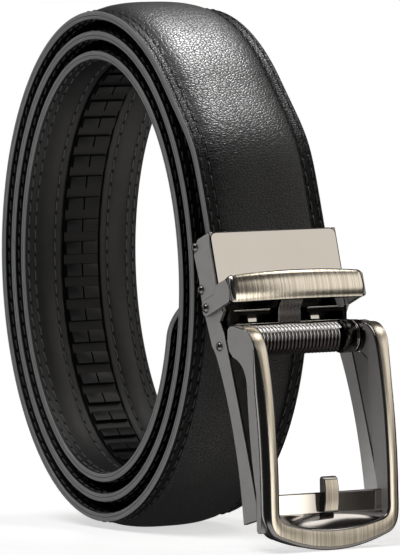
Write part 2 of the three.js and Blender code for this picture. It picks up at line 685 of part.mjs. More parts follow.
function mainFrame() {
  const sides = bothSides(plate(frameSideOutline(), BASE_INNER, FRAME_HALF_WIDTH));
  const bandInner = FRAME_HALF_WIDTH - FRAME_BAR;
  const bands = bothSides(plate(frameBandOutline(), bandInner, BASE_INNER + 0.1));
  const reach = FRAME_HALF_WIDTH - 0.6;
  const lowerBar = loft(stations(-reach, reach, 3).map(lowerBarRing));
  const socket = BASE_INNER + EAR_SOCKET;
  return sides
    .add(bands)
    .add(lowerBar)
    .subtract(barAlongX(PIN_HOLE, -socket, socket, ...PIN));
}

// Prong stub: a short rounded post that stands on the lower bar's slope, against the back wall
function prongStub() {
  const bottom = WALL.foot + CLEARANCE;
  const top = bottom + PRONG_HEIGHT;
  const back = WALL.front - CLEARANCE;
  const front = FRAME_FRONT + 1.5;
  const outline = [
    [back, bottom],
    [back, top - 0.8],
    [back - 0.6, top],
    [front + 0.8, top],
    [front + 0.1, top - 0.9],
    [front - 0.25, (bottom + top) / 2],
    [front + 0.1, bottom + 0.6],
    [front + 0.6, bottom],
  ];
  return plate(outline, -PRONG_WIDTH / 2, PRONG_WIDTH / 2);
}

// The assembly

const MATERIALS = {
  leather: new THREE.MeshStandardMaterial({ color: 0x1b1b1c, roughness: 0.5, metalness: 0 }),
  track: new THREE.MeshStandardMaterial({ color: 0x141415, roughness: 0.45, metalness: 0 }),
  polished: new THREE.MeshStandardMaterial({ color: 0x6f6b69, roughness: 0.15, metalness: 1 }),
  brushed: new THREE.MeshStandardMaterial({ color: 0x9c9182, roughness: 0.35, metalness: 1 }),
  spring: new THREE.MeshStandardMaterial({ color: 0xc9c9c6, roughness: 0.25, metalness: 1 }),
};

const group = new THREE.Group();

function add(name, solid, material) {
  const mesh = new THREE.Mesh(toGeometry(solid), MATERIALS[material]);
  mesh.name = name;
  group.add(mesh);
}

const KEEPER_RIVET_SHAPE = rivet(KEEPER_HALF, CHASSIS_INNER, KEEPER_RIVET);
const ARM_RIVET_SHAPE = rivet(BASE_OUTER, CHASSIS_INNER, ARM_RIVET);
const mirrored = (solid) => solid.mirror([1, 0, 0]);

add("strap", strap(), "leather");
add("ratchet_track", ratchetTrack(), "track");
add("base_channel", baseChannel(), "polished");
add("clamp_jaw", clampJaw(), "polished");
add("jaw_pin_upper", crossPin(JAW_PINS[0]), "polished");
add("jaw_pin_lower", crossPin(JAW_PINS[1]), "polished");
add("keeper", keeper(), "brushed");
add("keeper_rivet_right", KEEPER_RIVET_SHAPE, "polished");
add("keeper_rivet_left", mirrored(KEEPER_RIVET_SHAPE), "polished");
add("chassis", chassis(), "polished");
add("arm_rivet_right", ARM_RIVET_SHAPE, "polished");
add("arm_rivet_left", mirrored(ARM_RIVET_SHAPE), "polished");
add("hinge_pin", hingePin(), "polished");
add("pawl", pawl(), "polished");
add("return_spring", returnSpring(), "spring");
add("main_frame", mainFrame(), "brushed");
add("prong_stub", prongStub(), "brushed");

const box = new THREE.Box3().setFromObject(group);
group.position.y = -(box.min.y + box.max.y) / 2;

export default group;
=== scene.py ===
# Ratchet belt: the looks of the coiled leather strap and its open-frame buckle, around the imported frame.
# Shapes are worked out in millimetres and turned into metres where a mesh is made.
import math

import bpy
import numpy as np
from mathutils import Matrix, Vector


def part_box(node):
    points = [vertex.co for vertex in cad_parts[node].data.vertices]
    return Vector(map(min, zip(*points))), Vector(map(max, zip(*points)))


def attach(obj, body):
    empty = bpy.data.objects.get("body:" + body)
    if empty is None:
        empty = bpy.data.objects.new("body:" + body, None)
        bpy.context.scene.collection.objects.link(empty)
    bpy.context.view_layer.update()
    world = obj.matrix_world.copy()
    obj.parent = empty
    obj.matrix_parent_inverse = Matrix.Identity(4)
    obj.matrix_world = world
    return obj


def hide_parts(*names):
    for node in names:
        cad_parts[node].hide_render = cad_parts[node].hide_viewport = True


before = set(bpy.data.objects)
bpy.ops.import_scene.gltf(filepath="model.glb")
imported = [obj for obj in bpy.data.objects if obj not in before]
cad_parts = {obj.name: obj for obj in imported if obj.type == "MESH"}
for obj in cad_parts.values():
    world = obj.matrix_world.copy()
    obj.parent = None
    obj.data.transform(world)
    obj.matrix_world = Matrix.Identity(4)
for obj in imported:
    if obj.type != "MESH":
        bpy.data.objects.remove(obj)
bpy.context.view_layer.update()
MM = 0.001

# Places that the frame gives
PIN_LOW, PIN_HIGH = (np.array(corner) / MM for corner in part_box("hinge_pin"))
PIN_Y, PIN_Z = ((PIN_LOW + PIN_HIGH) / 2)[1:]
TRACK_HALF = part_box("ratchet_track")[1].x / MM
STRAP_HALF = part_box("strap")[1].x / MM

# Sizes of the strap
EDGE_THICKNESS = 2.2
DOME_RISE = 2.2
CLAMPED_DOME_RISE = 0.9
DOME_HALF = 13.6
SEAM_HEIGHT = 1.0
TIP_LENGTH = 13.0
TIP_END_SHARE = 0.3
CHANNEL_HALF = 5.9
CHANNEL_DEPTH = 0.8
TRACK_TEETH = 38
TOOTH_PITCH = 6.35
TOOTH_BLOCK_SHARE = 0.55
TRACK_END_MARGIN = 24.0
# Each stitch row: its distance from the middle and the length of its stitches
EDGE_ROWS = ((16.2, 3.6), (14.2, 3.9))
CHANNEL_ROW = (8.1, 3.9)
LINING_ROWS = (*EDGE_ROWS, CHANNEL_ROW)
THREAD_RADIUS = 0.2
# Half a stitch's length as a share of its pitch, its slant, its arch and how deep its ends dive
STITCH_REACH = 0.44
STITCH_SLANT = 0.14
STITCH_ARCH = 0.1
STITCH_DIVE = 0.3
STITCH_RINGS = 7
STITCH_SIDES = 6
# Distance between rings along the strap
LEATHER_STEP = 1.05
LINING_STEP = 1.25

# Sizes of the coil
COIL_HALF_DEPTH = 56.85
COIL_HALF_HEIGHT = 70.7
FRONT_GAP = 1.2
TOP_GAP = 0.9
DEPTH_LOSS = EDGE_THICKNESS + DOME_RISE + FRONT_GAP
HEIGHT_LOSS = EDGE_THICKNESS + DOME_RISE + TOP_GAP
COIL_TURNS = 2.99
LEAVE_TURN = 0.13
LEAVE_EASE = 0.54
CLAMP_TILT = math.radians(16.3)
CLAMPED_LENGTH = 19.2
PIN_TO_STRAP = 15.8
CLAMP_ABOVE_PIN = 30.7
CLAMP_START = np.array([PIN_Y + PIN_TO_STRAP, PIN_Z + CLAMP_ABOVE_PIN])
COIL_SETBACK = 2.25
REST_FLAT = 0.2
LOWEST_TURN = 0.75
COIL_CENTRE = np.array([
    PIN_Y + PIN_TO_STRAP + COIL_SETBACK + COIL_HALF_DEPTH,
    DOME_RISE - REST_FLAT + COIL_HALF_HEIGHT - LOWEST_TURN * HEIGHT_LOSS,
])

# Sizes of the buckle
PLATE_INNER = 17.8
PLATE_OUTER = 19.0
FRAME_HALF = 20.0
WEB_GAP = 0.45
BAND_INNER = 16.2
FRAME_TOP = 57.4
FRAME_FRONT = -16.3
FRAME_BACK = FRAME_FRONT + 5.6
BOTTOM_SAG = 5.2
BOTTOM_BAR = 5.4
INNER_SAG = 4.2
WALL_FRONT = FRAME_BACK - 1.2
WALL_FOOT = 9.1
WALL_TOP = 14.5
WALL_BOW = 0.6
WALL_SKEW = 1.0
CLAMP_INNER = 1.2
CLAMP_OUTER = 2.3
CLAMP_PLATE_START = 3.8
CLAMP_PLATE_END = 20.5
CLAMP_PLATE_CORNER = 2.2
JAW_FACE = -EDGE_THICKNESS - 0.3
KEEPER_START = 17.2
KEEPER_HEIGHT = 7.2
KEEPER_BACK = CLAMP_OUTER + 7.2
KEEPER_FRONT = KEEPER_BACK + 2.2
KEEPER_HALF = 20.2
SPRING_RADIUS = 4.0
SPRING_WIRE = 0.5
SPRING_PITCH = 1.073
SPRING_LEFT = -14.8
SPRING_RIGHT = 11.3
SPRING_STEPS = 22
WIRE_SIDES = 10
FLANGE_INNER = 16.3
FLANGE_OUTER = 17.5
BRIDGE_HALF = 16.4
BRIDGE_BOTTOM = PIN_Z + 6.3
BRIDGE_TOP = PIN_Z + 7.6
TONGUE_HALF = 3.3
POST_HALF = 2.1
RIVET_RADIUS = 1.2
SHANK_RADIUS = 0.7


# Camera: the photograph's angle, from 1.5 m away

VIEW_AZIMUTH = math.radians(-30)
VIEW_ELEVATION = math.radians(2.7)
VIEW_ROLL = math.radians(-1)
VIEW_DISTANCE = 1.5
VIEW_TARGET = np.array([0, PIN_Y + 50.354, 67.303]) * MM
FOCAL_PIXELS = 5681.677
PHOTO_WIDTH = 400
SENSOR = 36.0


def add_camera():
    """Looks from azimuth and elevation at the target, turned by the roll."""
    back = np.array([
        math.sin(VIEW_AZIMUTH) * math.cos(VIEW_ELEVATION),
        -math.cos(VIEW_AZIMUTH) * math.cos(VIEW_ELEVATION),
        math.sin(VIEW_ELEVATION),
    ])
    level = np.cross([0, 0, 1], back)
    level /= np.linalg.norm(level)
    up = np.cross(back, level)
    right = math.cos(VIEW_ROLL) * level + math.sin(VIEW_ROLL) * up
    top = math.cos(VIEW_ROLL) * up - math.sin(VIEW_ROLL) * level
    data = bpy.data.cameras.new("camera")
    data.sensor_fit = "HORIZONTAL"
    data.sensor_width = SENSOR
    data.lens = FOCAL_PIXELS / PHOTO_WIDTH * SENSOR
    data.clip_end = 50
    camera = bpy.data.objects.new("camera", data)
    bpy.context.scene.collection.objects.link(camera)
    matrix = np.eye(4)
    matrix[:3, 0], matrix[:3, 1], matrix[:3, 2] = right, top, back
    matrix[:3, 3] = VIEW_TARGET + VIEW_DISTANCE * back
    camera.matrix_world = matrix.T.tolist()
    bpy.context.scene.camera = camera


# Node expressions


class Value:
    """A socket in an expression: the usual operators add the nodes that work it out."""

    def __init__(self, maker, socket):
        """Keeps the socket and the maker of its tree."""
        self.maker = maker
        self.socket = socket

    def _math(self, operation, first, second=None):
        """One Math node on one or two values."""
        inputs = {0: first} if second is None else {0: first, 1: second}
        return self.maker.node("ShaderNodeMath", {"operation": operation}, inputs)

    def __add__(self, other):
        """Sum."""
        return self._math("ADD", self, other)

    __radd__ = __add__

    def __sub__(self, other):
        """Difference."""
        return self._math("SUBTRACT", self, other)

    def __rsub__(self, other):
        """Difference, the other way round."""
        return self._math("SUBTRACT", other, self)

    def __mul__(self, other):
        """Product."""
        return self._math("MULTIPLY", self, other)

    __rmul__ = __mul__

    def __truediv__(self, other):
        """Quotient."""
        return self._math("DIVIDE", self, other)

    def __abs__(self):
        """Value without its sign."""
        return self._math("ABSOLUTE", self)

    def wave(self):
        """Distance to the nearest whole number, from 0 to a half."""
        return self._math("PINGPONG", self, 0.5)

    def power(self, exponent):
        """Value raised to an exponent."""
        return self._math("POWER", self, exponent)

    def most(self, other):
        """The larger of two values."""
        return self._math("MAXIMUM", self, other)

    def step(self, low, high):
        """Rises smoothly from 0 at low to 1 at high."""
        inputs = {"Value": self, "From Min": low, "From Max": high}
        settings = {"interpolation_type": "SMOOTHSTEP"}
        return self.maker.node("ShaderNodeMapRange", settings, inputs, "Result")

    def fall(self, low, high):
        """Falls smoothly from 1 at low to 0 at high."""
        return 1 - self.step(low, high)


class Maker:
    """The nodes of one material or of the world."""

    def __init__(self, owner):
        """Empties the owner's node tree."""
        owner.use_nodes = True
        self.owner = owner
        self.tree = owner.node_tree
        self.tree.nodes.clear()

    def node(self, kind, settings=None, inputs=None, output=0):
        """One node of a kind: its settings first, then the values or links of its sockets."""
        node = self.tree.nodes.new(kind)
        for name, value in (settings or {}).items():
            setattr(node, name, value)
        for name, value in (inputs or {}).items():
            if isinstance(value, Value):
                self.tree.links.new(value.socket, node.inputs[name])
            else:
                node.inputs[name].default_value = value
        return Value(self, node.outputs[output]) if node.outputs else node

    def split(self, vector):
        """The three numbers of a vector."""
        node = self.tree.nodes.new("ShaderNodeSeparateXYZ")
        self.tree.links.new(vector.socket, node.inputs[0])
        return [Value(self, socket) for socket in node.outputs]

    def vector(self, x, y, z):
        """A vector from three numbers."""
        return self.node("ShaderNodeCombineXYZ", None, {"X": x, "Y": y, "Z": z})

    def object_mm(self):
        """Object coordinates in millimetres."""
        place = self.node("ShaderNodeTexCoord", output="Object")
        return self.node("ShaderNodeVectorMath", {"operation": "SCALE"}, {0: place, "Scale": 1 / MM})

    def noise(self, place, scale, detail=2.0, roughness=0.5, output="Fac"):
        """Noise at a place, about 0.5 in the middle."""
        inputs = {"Vector": place, "Scale": scale, "Detail": detail, "Roughness": roughness}
        return self.node("ShaderNodeTexNoise", None, inputs, output)

    def mix(self, share, first, second):
        """A colour between two colours."""
        inputs = {0: share, 6: (*first, 1) if isinstance(first, tuple) else first}
        inputs[7] = (*second, 1) if isinstance(second, tuple) else second
        return self.node("ShaderNodeMix", {"data_type": "RGBA"}, inputs, 2)

    def bump(self, height, distance, strength=1.0):
        """A normal from a height, whose unit is distance in millimetres."""
        inputs = {"Height": height, "Distance": distance * MM, "Strength": strength}
        return self.node("ShaderNodeBump", None, inputs)

    def finish(self, color, roughness, normal=None, **fixed):
        """The Principled surface; what is fixed goes on its own sockets."""
        color = (*color, 1) if isinstance(color, tuple) else color
        inputs = {"Base Color": color, "Roughness": roughness}
        if normal is not None:
            inputs["Normal"] = normal
        inputs.update({name.replace("_", " "): value for name, value in fixed.items()})
        shader = self.node("ShaderNodeBsdfPrincipled", None, inputs)
        self.node("ShaderNodeOutputMaterial", None, {"Surface": shader})
        return self.owner


def material(name):
    """The maker of a new material."""
    return Maker(bpy.data.materials.new(name))


# Finishes


def on_belt(make):
    """Length along the strap, distance across it and height, in millimetres."""
    return make.node("ShaderNodeAttribute", {"attribute_name": "on_belt"}, output="Vector")


def needle_holes(length, across, rows):
    """1 in the needle holes of the stitch rows: a small ellipse at each end of a stitch."""
    found = None
    for row, pitch in rows:
        along = (length / pitch).wave() * pitch
        aside = abs(abs(across) - row)
        reach = (along / 0.52).power(2.0) + (aside / 0.42).power(2.0)
        hole = reach.fall(0.5, 1.3)
        found = hole if found is None else found.most(hole)
    return found


def stitch_dents(across, rows, width):
    """1 along the stitch rows, where the thread pulls the leather in."""
    found = None
    for row, _ in rows:
        dent = abs(abs(across) - row).fall(0.0, width)
        found = dent if found is None else found.most(dent)
    return found


def grained_leather(name, gloss):
    """Black leather with a pebble grain: cells of about a millimetre between fine creases.

    The cells are those of a Voronoi pattern whose places wander with a noise. Their height rises
    with the distance to the cell's edge, and a second, smaller pattern and a noise add to it."""
    make = material(name)
    place = on_belt(make)
    length, across, _ = make.split(place)
    wander = make.noise(place, 0.7, 2.0, output="Color")
    pull = {0: wander, 1: (1.3, 1.3, 0), 2: place}
    pulled = make.node("ShaderNodeVectorMath", {"operation": "MULTIPLY_ADD"}, pull)
    stretch = {0: pulled, 1: (1.25, 0.95, 0.0)}
    stretched = make.node("ShaderNodeVectorMath", {"operation": "MULTIPLY"}, stretch)
    to_edge = {"feature": "DISTANCE_TO_EDGE", "voronoi_dimensions": "2D"}
    edges, small = (
        make.node("ShaderNodeTexVoronoi", to_edge, {"Vector": stretched, "Scale": scale}, "Distance")
        for scale in (1.0, 2.3)
    )
    pebbles = edges.step(0.0, 0.3)
    creases = edges.fall(0.02, 0.13)
    crumbs = small.step(0.0, 0.3)
    fine = make.noise(place, 5.0, 3.0)
    holes = needle_holes(length, across, EDGE_ROWS)
    height = pebbles + crumbs * 0.14 + fine * 0.08 - holes * 3.0
    tone = make.noise(place, 0.12, 3.0)
    color = make.mix(tone.step(0.35, 0.7), (0.005, 0.005, 0.0053), (0.0085, 0.0085, 0.0088))
    # Painted shade: the creases and needle holes turn near-black
    color = make.mix(holes.most(creases), color, (0.0008, 0.0008, 0.0008))
    roughness = 0.34 + 0.08 * fine + 0.4 * creases + 0.2 * holes
    return make.finish(color, roughness, make.bump(height, 0.036), Specular_IOR_Level=gloss)


def lining_leather():
    """Smooth lining leather with very fine pores."""
    make = material("lining_leather")
    place = on_belt(make)
    length, across, _ = make.split(place)
    fine = make.noise(place, 3.5, 4.0, 0.6)
    broad = make.noise(place, 0.15, 2.0)
    holes = needle_holes(length, across, LINING_ROWS)
    dents = stitch_dents(across, LINING_ROWS, 0.8)
    height = fine * 0.35 - dents * 0.5 - holes * 3.0
    color = make.mix(broad.step(0.3, 0.7), (0.01, 0.01, 0.0102), (0.017, 0.017, 0.0174))
    # Painted shade: the needle holes turn near-black
    color = make.mix(holes, color, (0.001, 0.001, 0.001))
    roughness = 0.4 + 0.12 * fine + 0.25 * holes
    return make.finish(color, roughness, make.bump(height, 0.1), Specular_IOR_Level=0.5)


def edge_paint():
    """Satin paint on the strap's edges, with faint streaks along them."""
    make = material("edge_paint")
    length, across, height = make.split(on_belt(make))
    streaks = make.noise(make.vector(length * 0.06, across, height * 3.0), 1.6, 3.0)
    seam = abs(height - SEAM_HEIGHT).fall(0.02, 0.14)
    color = make.mix(streaks.step(0.3, 0.75), (0.26, 0.26, 0.262), (0.36, 0.36, 0.364))
    color = make.mix(seam, color, (0.06, 0.06, 0.06))
    normal = make.bump(streaks * 0.5 - seam * 0.5, 0.06)
    return make.finish(color, 0.38 + 0.15 * streaks, normal, Specular_IOR_Level=0.6)


def thread(name, dark, light):
    """Waxed thread whose twisted strands go from a dark to a light tone."""
    make = material(name)
    strands = make.noise(make.object_mm(), 7.0, 1.0)
    color = make.mix(strands, dark, light)
    return make.finish(color, 0.28 + 0.15 * strands, make.bump(strands, 0.1), Specular_IOR_Level=0.6)


def moulded_track():
    """Black moulded plastic, satin, with a few rub marks."""
    make = material("moulded_track")
    place = make.object_mm()
    fine = make.noise(place, 2.5, 3.0)
    broad = make.noise(place, 0.2, 2.0)
    color = make.mix(broad, (0.004, 0.004, 0.0045), (0.009, 0.009, 0.0095))
    return make.finish(color, 0.36 + 0.16 * fine, make.bump(fine, 0.03), Specular_IOR_Level=0.3)


def polished_gunmetal():
    """Dark polished plating, with a faint waviness and the finest smudges."""
    make = material("polished_gunmetal")
    place = make.object_mm()
    smudge = make.noise(place, 0.12, 3.0)
    wave = make.noise(place, 0.05, 1.0)
    color = make.mix(smudge, (0.235, 0.225, 0.217), (0.29, 0.277, 0.267))
    return make.finish(color, 0.1 + 0.06 * smudge, make.bump(wave, 0.02, 0.4), Metallic=1.0)


def painted_highlight_gunmetal():
    """The same plating on the clamp plate's face, polished smoother, with a lighter base colour that is
    painted highlight; it also paints the thin bright lines and tabs.
    """
    make = material("painted_highlight_gunmetal")
    place = make.object_mm()
    smudge = make.noise(place, 0.1, 3.0)
    color = make.mix(smudge, (0.62, 0.58, 0.53), (0.67, 0.63, 0.58))
    return make.finish(color, 0.07 + 0.05 * smudge, Metallic=1.0)


def brushed_gunmetal(name, dark, light, smooth):
    """Warm gunmetal with upright brush lines from a dark to a light tone, long in Z and fine across."""
    make = material(name)
    x, y, z = make.split(make.object_mm())
    lines = make.noise(make.vector(x * 1.6, y * 0.03, z * 0.02), 1.0, 3.0, 0.6)
    hairs = make.noise(make.vector(x * 4.5, y * 0.05, z * 0.035), 1.0, 2.0, 0.6)
    streak = lines * 0.55 + hairs * 0.45
    color = make.mix(streak.step(0.36, 0.62), dark, light)
    roughness = smooth + 0.12 * hairs
    return make.finish(color, roughness, make.bump(streak, 0.025, 0.6), Metallic=1.0)


def painted_dark_gunmetal():
    """The darkest plating, mirror-smooth: its near-black base colour paints the dark reflections and shade
    on the hinge's inner parts and the narrow edges.
    """
    make = material("painted_dark_gunmetal")
    smudge = make.noise(make.object_mm(), 0.3, 3.0)
    color = make.mix(smudge, (0.022, 0.021, 0.02), (0.04, 0.038, 0.037))
    return make.finish(color, 0.12 + 0.1 * smudge, Metallic=1.0)


def satin_gunmetal(name, dark, light):
    """The plating where it was only tumbled, on the bars' inner faces and the arms: it clouds
    from a dark to a light tone."""
    make = material(name)
    place = make.object_mm()
    cloud = make.noise(place, 0.25, 3.0)
    grit = make.noise(place, 3.0, 2.0)
    color = make.mix(cloud, dark, light)
    return make.finish(color, 0.5 + 0.08 * grit, make.bump(grit, 0.01, 0.5), Metallic=0.85)


def spring_steel():
    """Bright drawn wire, painted dark on the underside of the coils as shade."""
    make = material("spring_steel")
    place = make.object_mm()
    marks = make.noise(place, 1.2, 3.0)
    height = make.split(place)[2]
    color = make.mix(marks, (0.6, 0.59, 0.58), (0.8, 0.79, 0.78))
    # Painted shade: the wire turns dark below the pin's height
    color = make.mix(height.step(PIN_Z - 0.6, PIN_Z + 1.6), (0.06, 0.053, 0.05), color)
    return make.finish(color, 0.16 + 0.1 * marks, Metallic=1.0)


LEATHER = grained_leather("grained_leather", 0.4)
MARGIN = grained_leather("margin_leather", 0.1)
LINING = lining_leather()
EDGE = edge_paint()
THREAD = thread("outer_thread", (0.01, 0.01, 0.01), (0.022, 0.022, 0.022))
# Lighter thread: partly its own grey, partly a painted highlight for its glints
LINING_THREAD = thread("lining_thread", (0.05, 0.05, 0.05), (0.16, 0.16, 0.165))
TRACK = moulded_track()
POLISHED = polished_gunmetal()
PAINTED_HIGHLIGHT = painted_highlight_gunmetal()
BRUSHED = brushed_gunmetal("brushed_gunmetal", (0.58, 0.51, 0.4), (0.95, 0.87, 0.73), 0.24)
KEEPER_BRUSHED = brushed_gunmetal("keeper_gunmetal", (0.62, 0.56, 0.45), (0.95, 0.88, 0.76), 0.14)
PAINTED_DARK = painted_dark_gunmetal()
SATIN = satin_gunmetal("satin_gunmetal", (0.42, 0.41, 0.4), (0.5, 0.49, 0.475))
# A lighter copy of the satin for the inward faces: painted light
PAINTED_LIGHT_SATIN = satin_gunmetal("painted_light_satin", (0.84, 0.82, 0.8), (0.92, 0.9, 0.88))
STEEL = spring_steel()


# Meshes from arrays


def grid_faces(rows, columns, wrap_columns=False):
    """Quads between the neighbours of a grid of points, row after row."""
    row = np.arange(rows - 1)[:, None]
    column = np.arange(columns if wrap_columns else columns - 1)[None, :]
    after = (column + 1) % columns
    near, far = row * columns, (row + 1) * columns
    corners = [near + column, near + after, far + after, far + column]
    return np.stack([np.broadcast_to(c, (rows - 1, column.size)) for c in corners], -1).reshape(-1, 4)


class Shape:
    """Points and faces gathered from several surfaces, in millimetres."""

    def __init__(self):
        """Starts with nothing in it."""
        self.points = []
        self.faces = []
        self.slots = []
        self.belt = []
        self.count = 0

    def add(self, points, faces, slot=0, belt=None):
        """Adds points, the faces between them, the faces' slots and the points' places on the belt."""
        points = np.asarray(points, float).reshape(-1, 3)
        self.points.append(points)
        self.belt.append(np.zeros_like(points) if belt is None else np.asarray(belt, float).reshape(-1, 3))
        for face in faces:
            self.faces.append([int(i) + self.count for i in face])
        slots = np.broadcast_to(slot, len(faces))
        self.slots.extend(int(s) for s in slots)
        self.count += len(points)
        return self

    def tube(self, rings, slot=0, belt=None, flip=False, cap_slot=0):
        """A closed skin over rings of equally many points, with a flat face at each end."""
        rings = np.asarray(rings, float)
        rows, columns = rings.shape[:2]
        faces = grid_faces(rows, columns, True)
        caps = [list(range(columns))[::-1], list(range((rows - 1) * columns, rows * columns))]
        if flip:
            faces = faces[:, ::-1]
            caps = [cap[::-1] for cap in caps]
        slots = np.concatenate([np.broadcast_to(slot, (rows - 1, columns)).ravel(), [cap_slot, cap_slot]])
        return self.add(rings, list(faces) + caps, slots, belt)

    def prism(self, outline, low, high, slot=0, cap_slot=0):
        """An outline of y and z, pushed along X from low to high."""
        outline = np.asarray(outline, float)
        ring = lambda x: np.column_stack([np.full(len(outline), x), outline])
        turned = np.cross(outline, np.roll(outline, -1, 0)).sum() < 0
        return self.tube([ring(low), ring(high)], slot, flip=turned, cap_slot=cap_slot)

    def mirrored(self):
        """The same again on the other side of X."""
        points = np.concatenate(self.points) * [-1, 1, 1]
        faces = [face[::-1] for face in self.faces]
        return self.add(points, faces, self.slots[:], np.concatenate(self.belt))

    def make(self, name, materials, sharp=30.0, bevel=None, segments=3, bevel_slot=-1):
        """The Blender object, smooth where faces meet at less than the sharp angle."""
        mesh = bpy.data.meshes.new(name)
        points = np.concatenate(self.points) * MM
        mesh.from_pydata(points.tolist(), [], self.faces)
        for item in materials:
            mesh.materials.append(item)
        mesh.polygons.foreach_set("material_index", np.array(self.slots, np.int32))
        belt = np.concatenate(self.belt)
        if np.any(belt):
            on_points = mesh.attributes.new("on_belt", "FLOAT_VECTOR", "POINT")
            on_points.data.foreach_set("vector", belt.ravel())
        mesh.polygons.foreach_set("use_smooth", np.ones(len(self.faces), bool))
        mesh.set_sharp_from_angle(angle=math.radians(sharp))
        mesh.update()
        piece = bpy.data.objects.new(name, mesh)
        bpy.context.scene.collection.objects.link(piece)
        if bevel:
            rounding = piece.modifiers.new("rounding", "BEVEL")
            rounding.width = bevel * MM
            rounding.segments = segments
            rounding.limit_method = "ANGLE"
            rounding.angle_limit = math.radians(sharp)
            rounding.harden_normals = True
            rounding.material = bevel_slot
        return piece


def piece(shape, name, materials, body, slot, nodes, **options):
    """Makes a piece that rides on a body and stands for these CAD nodes."""
    made = shape.make(name, materials, **options)
    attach(made, body)
    if nodes:
        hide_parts(*nodes)
    return made


def curve(start, pull, end, count=12):
    """A bend from start to end that leans towards pull, without its last point."""
    t = np.linspace(0, 1, count, endpoint=False)[:, None]
    start, pull, end = (np.asarray(p, float) for p in (start, pull, end))
    return (1 - t) ** 2 * start + 2 * t * (1 - t) * pull + t**2 * end


def smooth_step(value, low, high):
    """Rises from 0 at low to 1 at high by 3 t squared less 2 t cubed."""
    t = np.clip((value - low) / (high - low), 0, 1)
    return t * t * (3 - 2 * t)


# The strap's path


def coil_point(turn):
    """The spiral whose half depth and half height shrink evenly with each turn."""
    angle = 2 * np.pi * turn
    depth = COIL_HALF_DEPTH - DEPTH_LOSS * turn
    height = COIL_HALF_HEIGHT - HEIGHT_LOSS * turn
    return COIL_CENTRE + np.stack([-depth * np.cos(angle), height * np.sin(angle)], -1)


STRAP_UP = np.array([math.sin(CLAMP_TILT), math.cos(CLAMP_TILT)])
STRAP_OUT = np.array([-STRAP_UP[1], STRAP_UP[0]])


def strap_path():
    """Straight under the clamp, one cubic bend out to the coil, then the coil to the tip."""
    down = np.linspace(CLAMPED_LENGTH, 0, 60, endpoint=False)[:, None]
    straight = CLAMP_START - down * STRAP_UP
    end = coil_point(np.array(LEAVE_TURN))
    heading = coil_point(np.array(LEAVE_TURN + 0.001)) - end
    heading /= np.linalg.norm(heading)
    ease = LEAVE_EASE * np.linalg.norm(end - CLAMP_START)
    t = np.linspace(0, 1, 200, endpoint=False)[:, None]
    pulls = [CLAMP_START, CLAMP_START + ease * STRAP_UP, end - ease * heading, end]
    weights = [(1 - t) ** 3, 3 * t * (1 - t) ** 2, 3 * t**2 * (1 - t), t**3]
    bend = sum(weight * pull for weight, pull in zip(weights, pulls))
    return np.concatenate([straight, bend, coil_point(np.linspace(LEAVE_TURN, COIL_TURNS, 5000))])


PATH = strap_path()
PATH_LENGTH = np.concatenate([[0], np.cumsum(np.linalg.norm(np.diff(PATH, axis=0), axis=1))])
STRAP_LENGTH = PATH_LENGTH[-1]
TRACK_END = STRAP_LENGTH - TRACK_END_MARGIN
TRACK_START = TRACK_END - TRACK_TEETH * TOOTH_PITCH


def path_at(length):
    """Points of the edge line in y and z at lengths along the strap."""
    return np.stack([np.interp(length, PATH_LENGTH, PATH[:, axis]) for axis in (0, 1)], -1)


def on_strap(length, across, height):
    """Points at lengths along the strap, distances across it and heights above its lining."""
    length, across, height = np.broadcast_arrays(length, across, height)
    centre = path_at(length)
    ahead = path_at(np.minimum(length + 0.8, STRAP_LENGTH)) - path_at(np.maximum(length - 0.8, 0))
    ahead /= np.linalg.norm(ahead, axis=-1, keepdims=True)
    out = height - EDGE_THICKNESS
    return np.stack([across, centre[..., 0] - ahead[..., 1] * out, centre[..., 1] + ahead[..., 0] * out], -1)


def half_width(length):
    """Half the strap's width: full, then an ellipse's at the tip."""
    tip = np.clip((length - (STRAP_LENGTH - TIP_LENGTH)) / TIP_LENGTH, 0, 1)
    return STRAP_HALF * np.sqrt(1 - tip**2 * (1 - TIP_END_SHARE**2))


# Strap: grained outer leather, lining and painted edges

EDGE_ROUND = 0.5
PUCKER = 0.1


def outer_height(length, across):
    """A flat stitched strip along each edge, and between them a dome from a puckered line: its rise
    is 1 less the 2.8th power of the distance's share, all to the power of 0.7."""
    fade = smooth_step(length, CLAMPED_LENGTH - 4, CLAMPED_LENGTH + 30)
    tip = np.clip((length - (STRAP_LENGTH - TIP_LENGTH)) / TIP_LENGTH, 0, 1)
    rise = (CLAMPED_DOME_RISE + (DOME_RISE - CLAMPED_DOME_RISE) * fade) * (1 - tip**4)
    line = DOME_HALF + PUCKER * np.cos(2 * np.pi * length / EDGE_ROWS[1][1])
    reach = np.clip(np.abs(across) * STRAP_HALF / (line * half_width(length)), 0, 1)
    return EDGE_THICKNESS + rise * (1 - reach**2.8) ** 0.7


def edge_profile(low, high, turn_at_high):
    """Shares of the inset and heights of an edge from low to high, rounded at the end where it turns."""
    turn = np.linspace(0, np.pi / 2, 5)
    inset = EDGE_ROUND * (1 - np.cos(turn))
    reach = EDGE_ROUND * np.sin(turn)
    if turn_at_high:
        middle = (low + high - EDGE_ROUND) / 2
        return (
            np.concatenate([[0, 0], inset]),
            np.concatenate([[low, middle], high - EDGE_ROUND + reach]),
        )
    middle = (low + EDGE_ROUND + high) / 2
    return (
        np.concatenate([inset[::-1], [0, 0]]),
        np.concatenate([(low + EDGE_ROUND - reach)[::-1], [middle, high]]),
    )


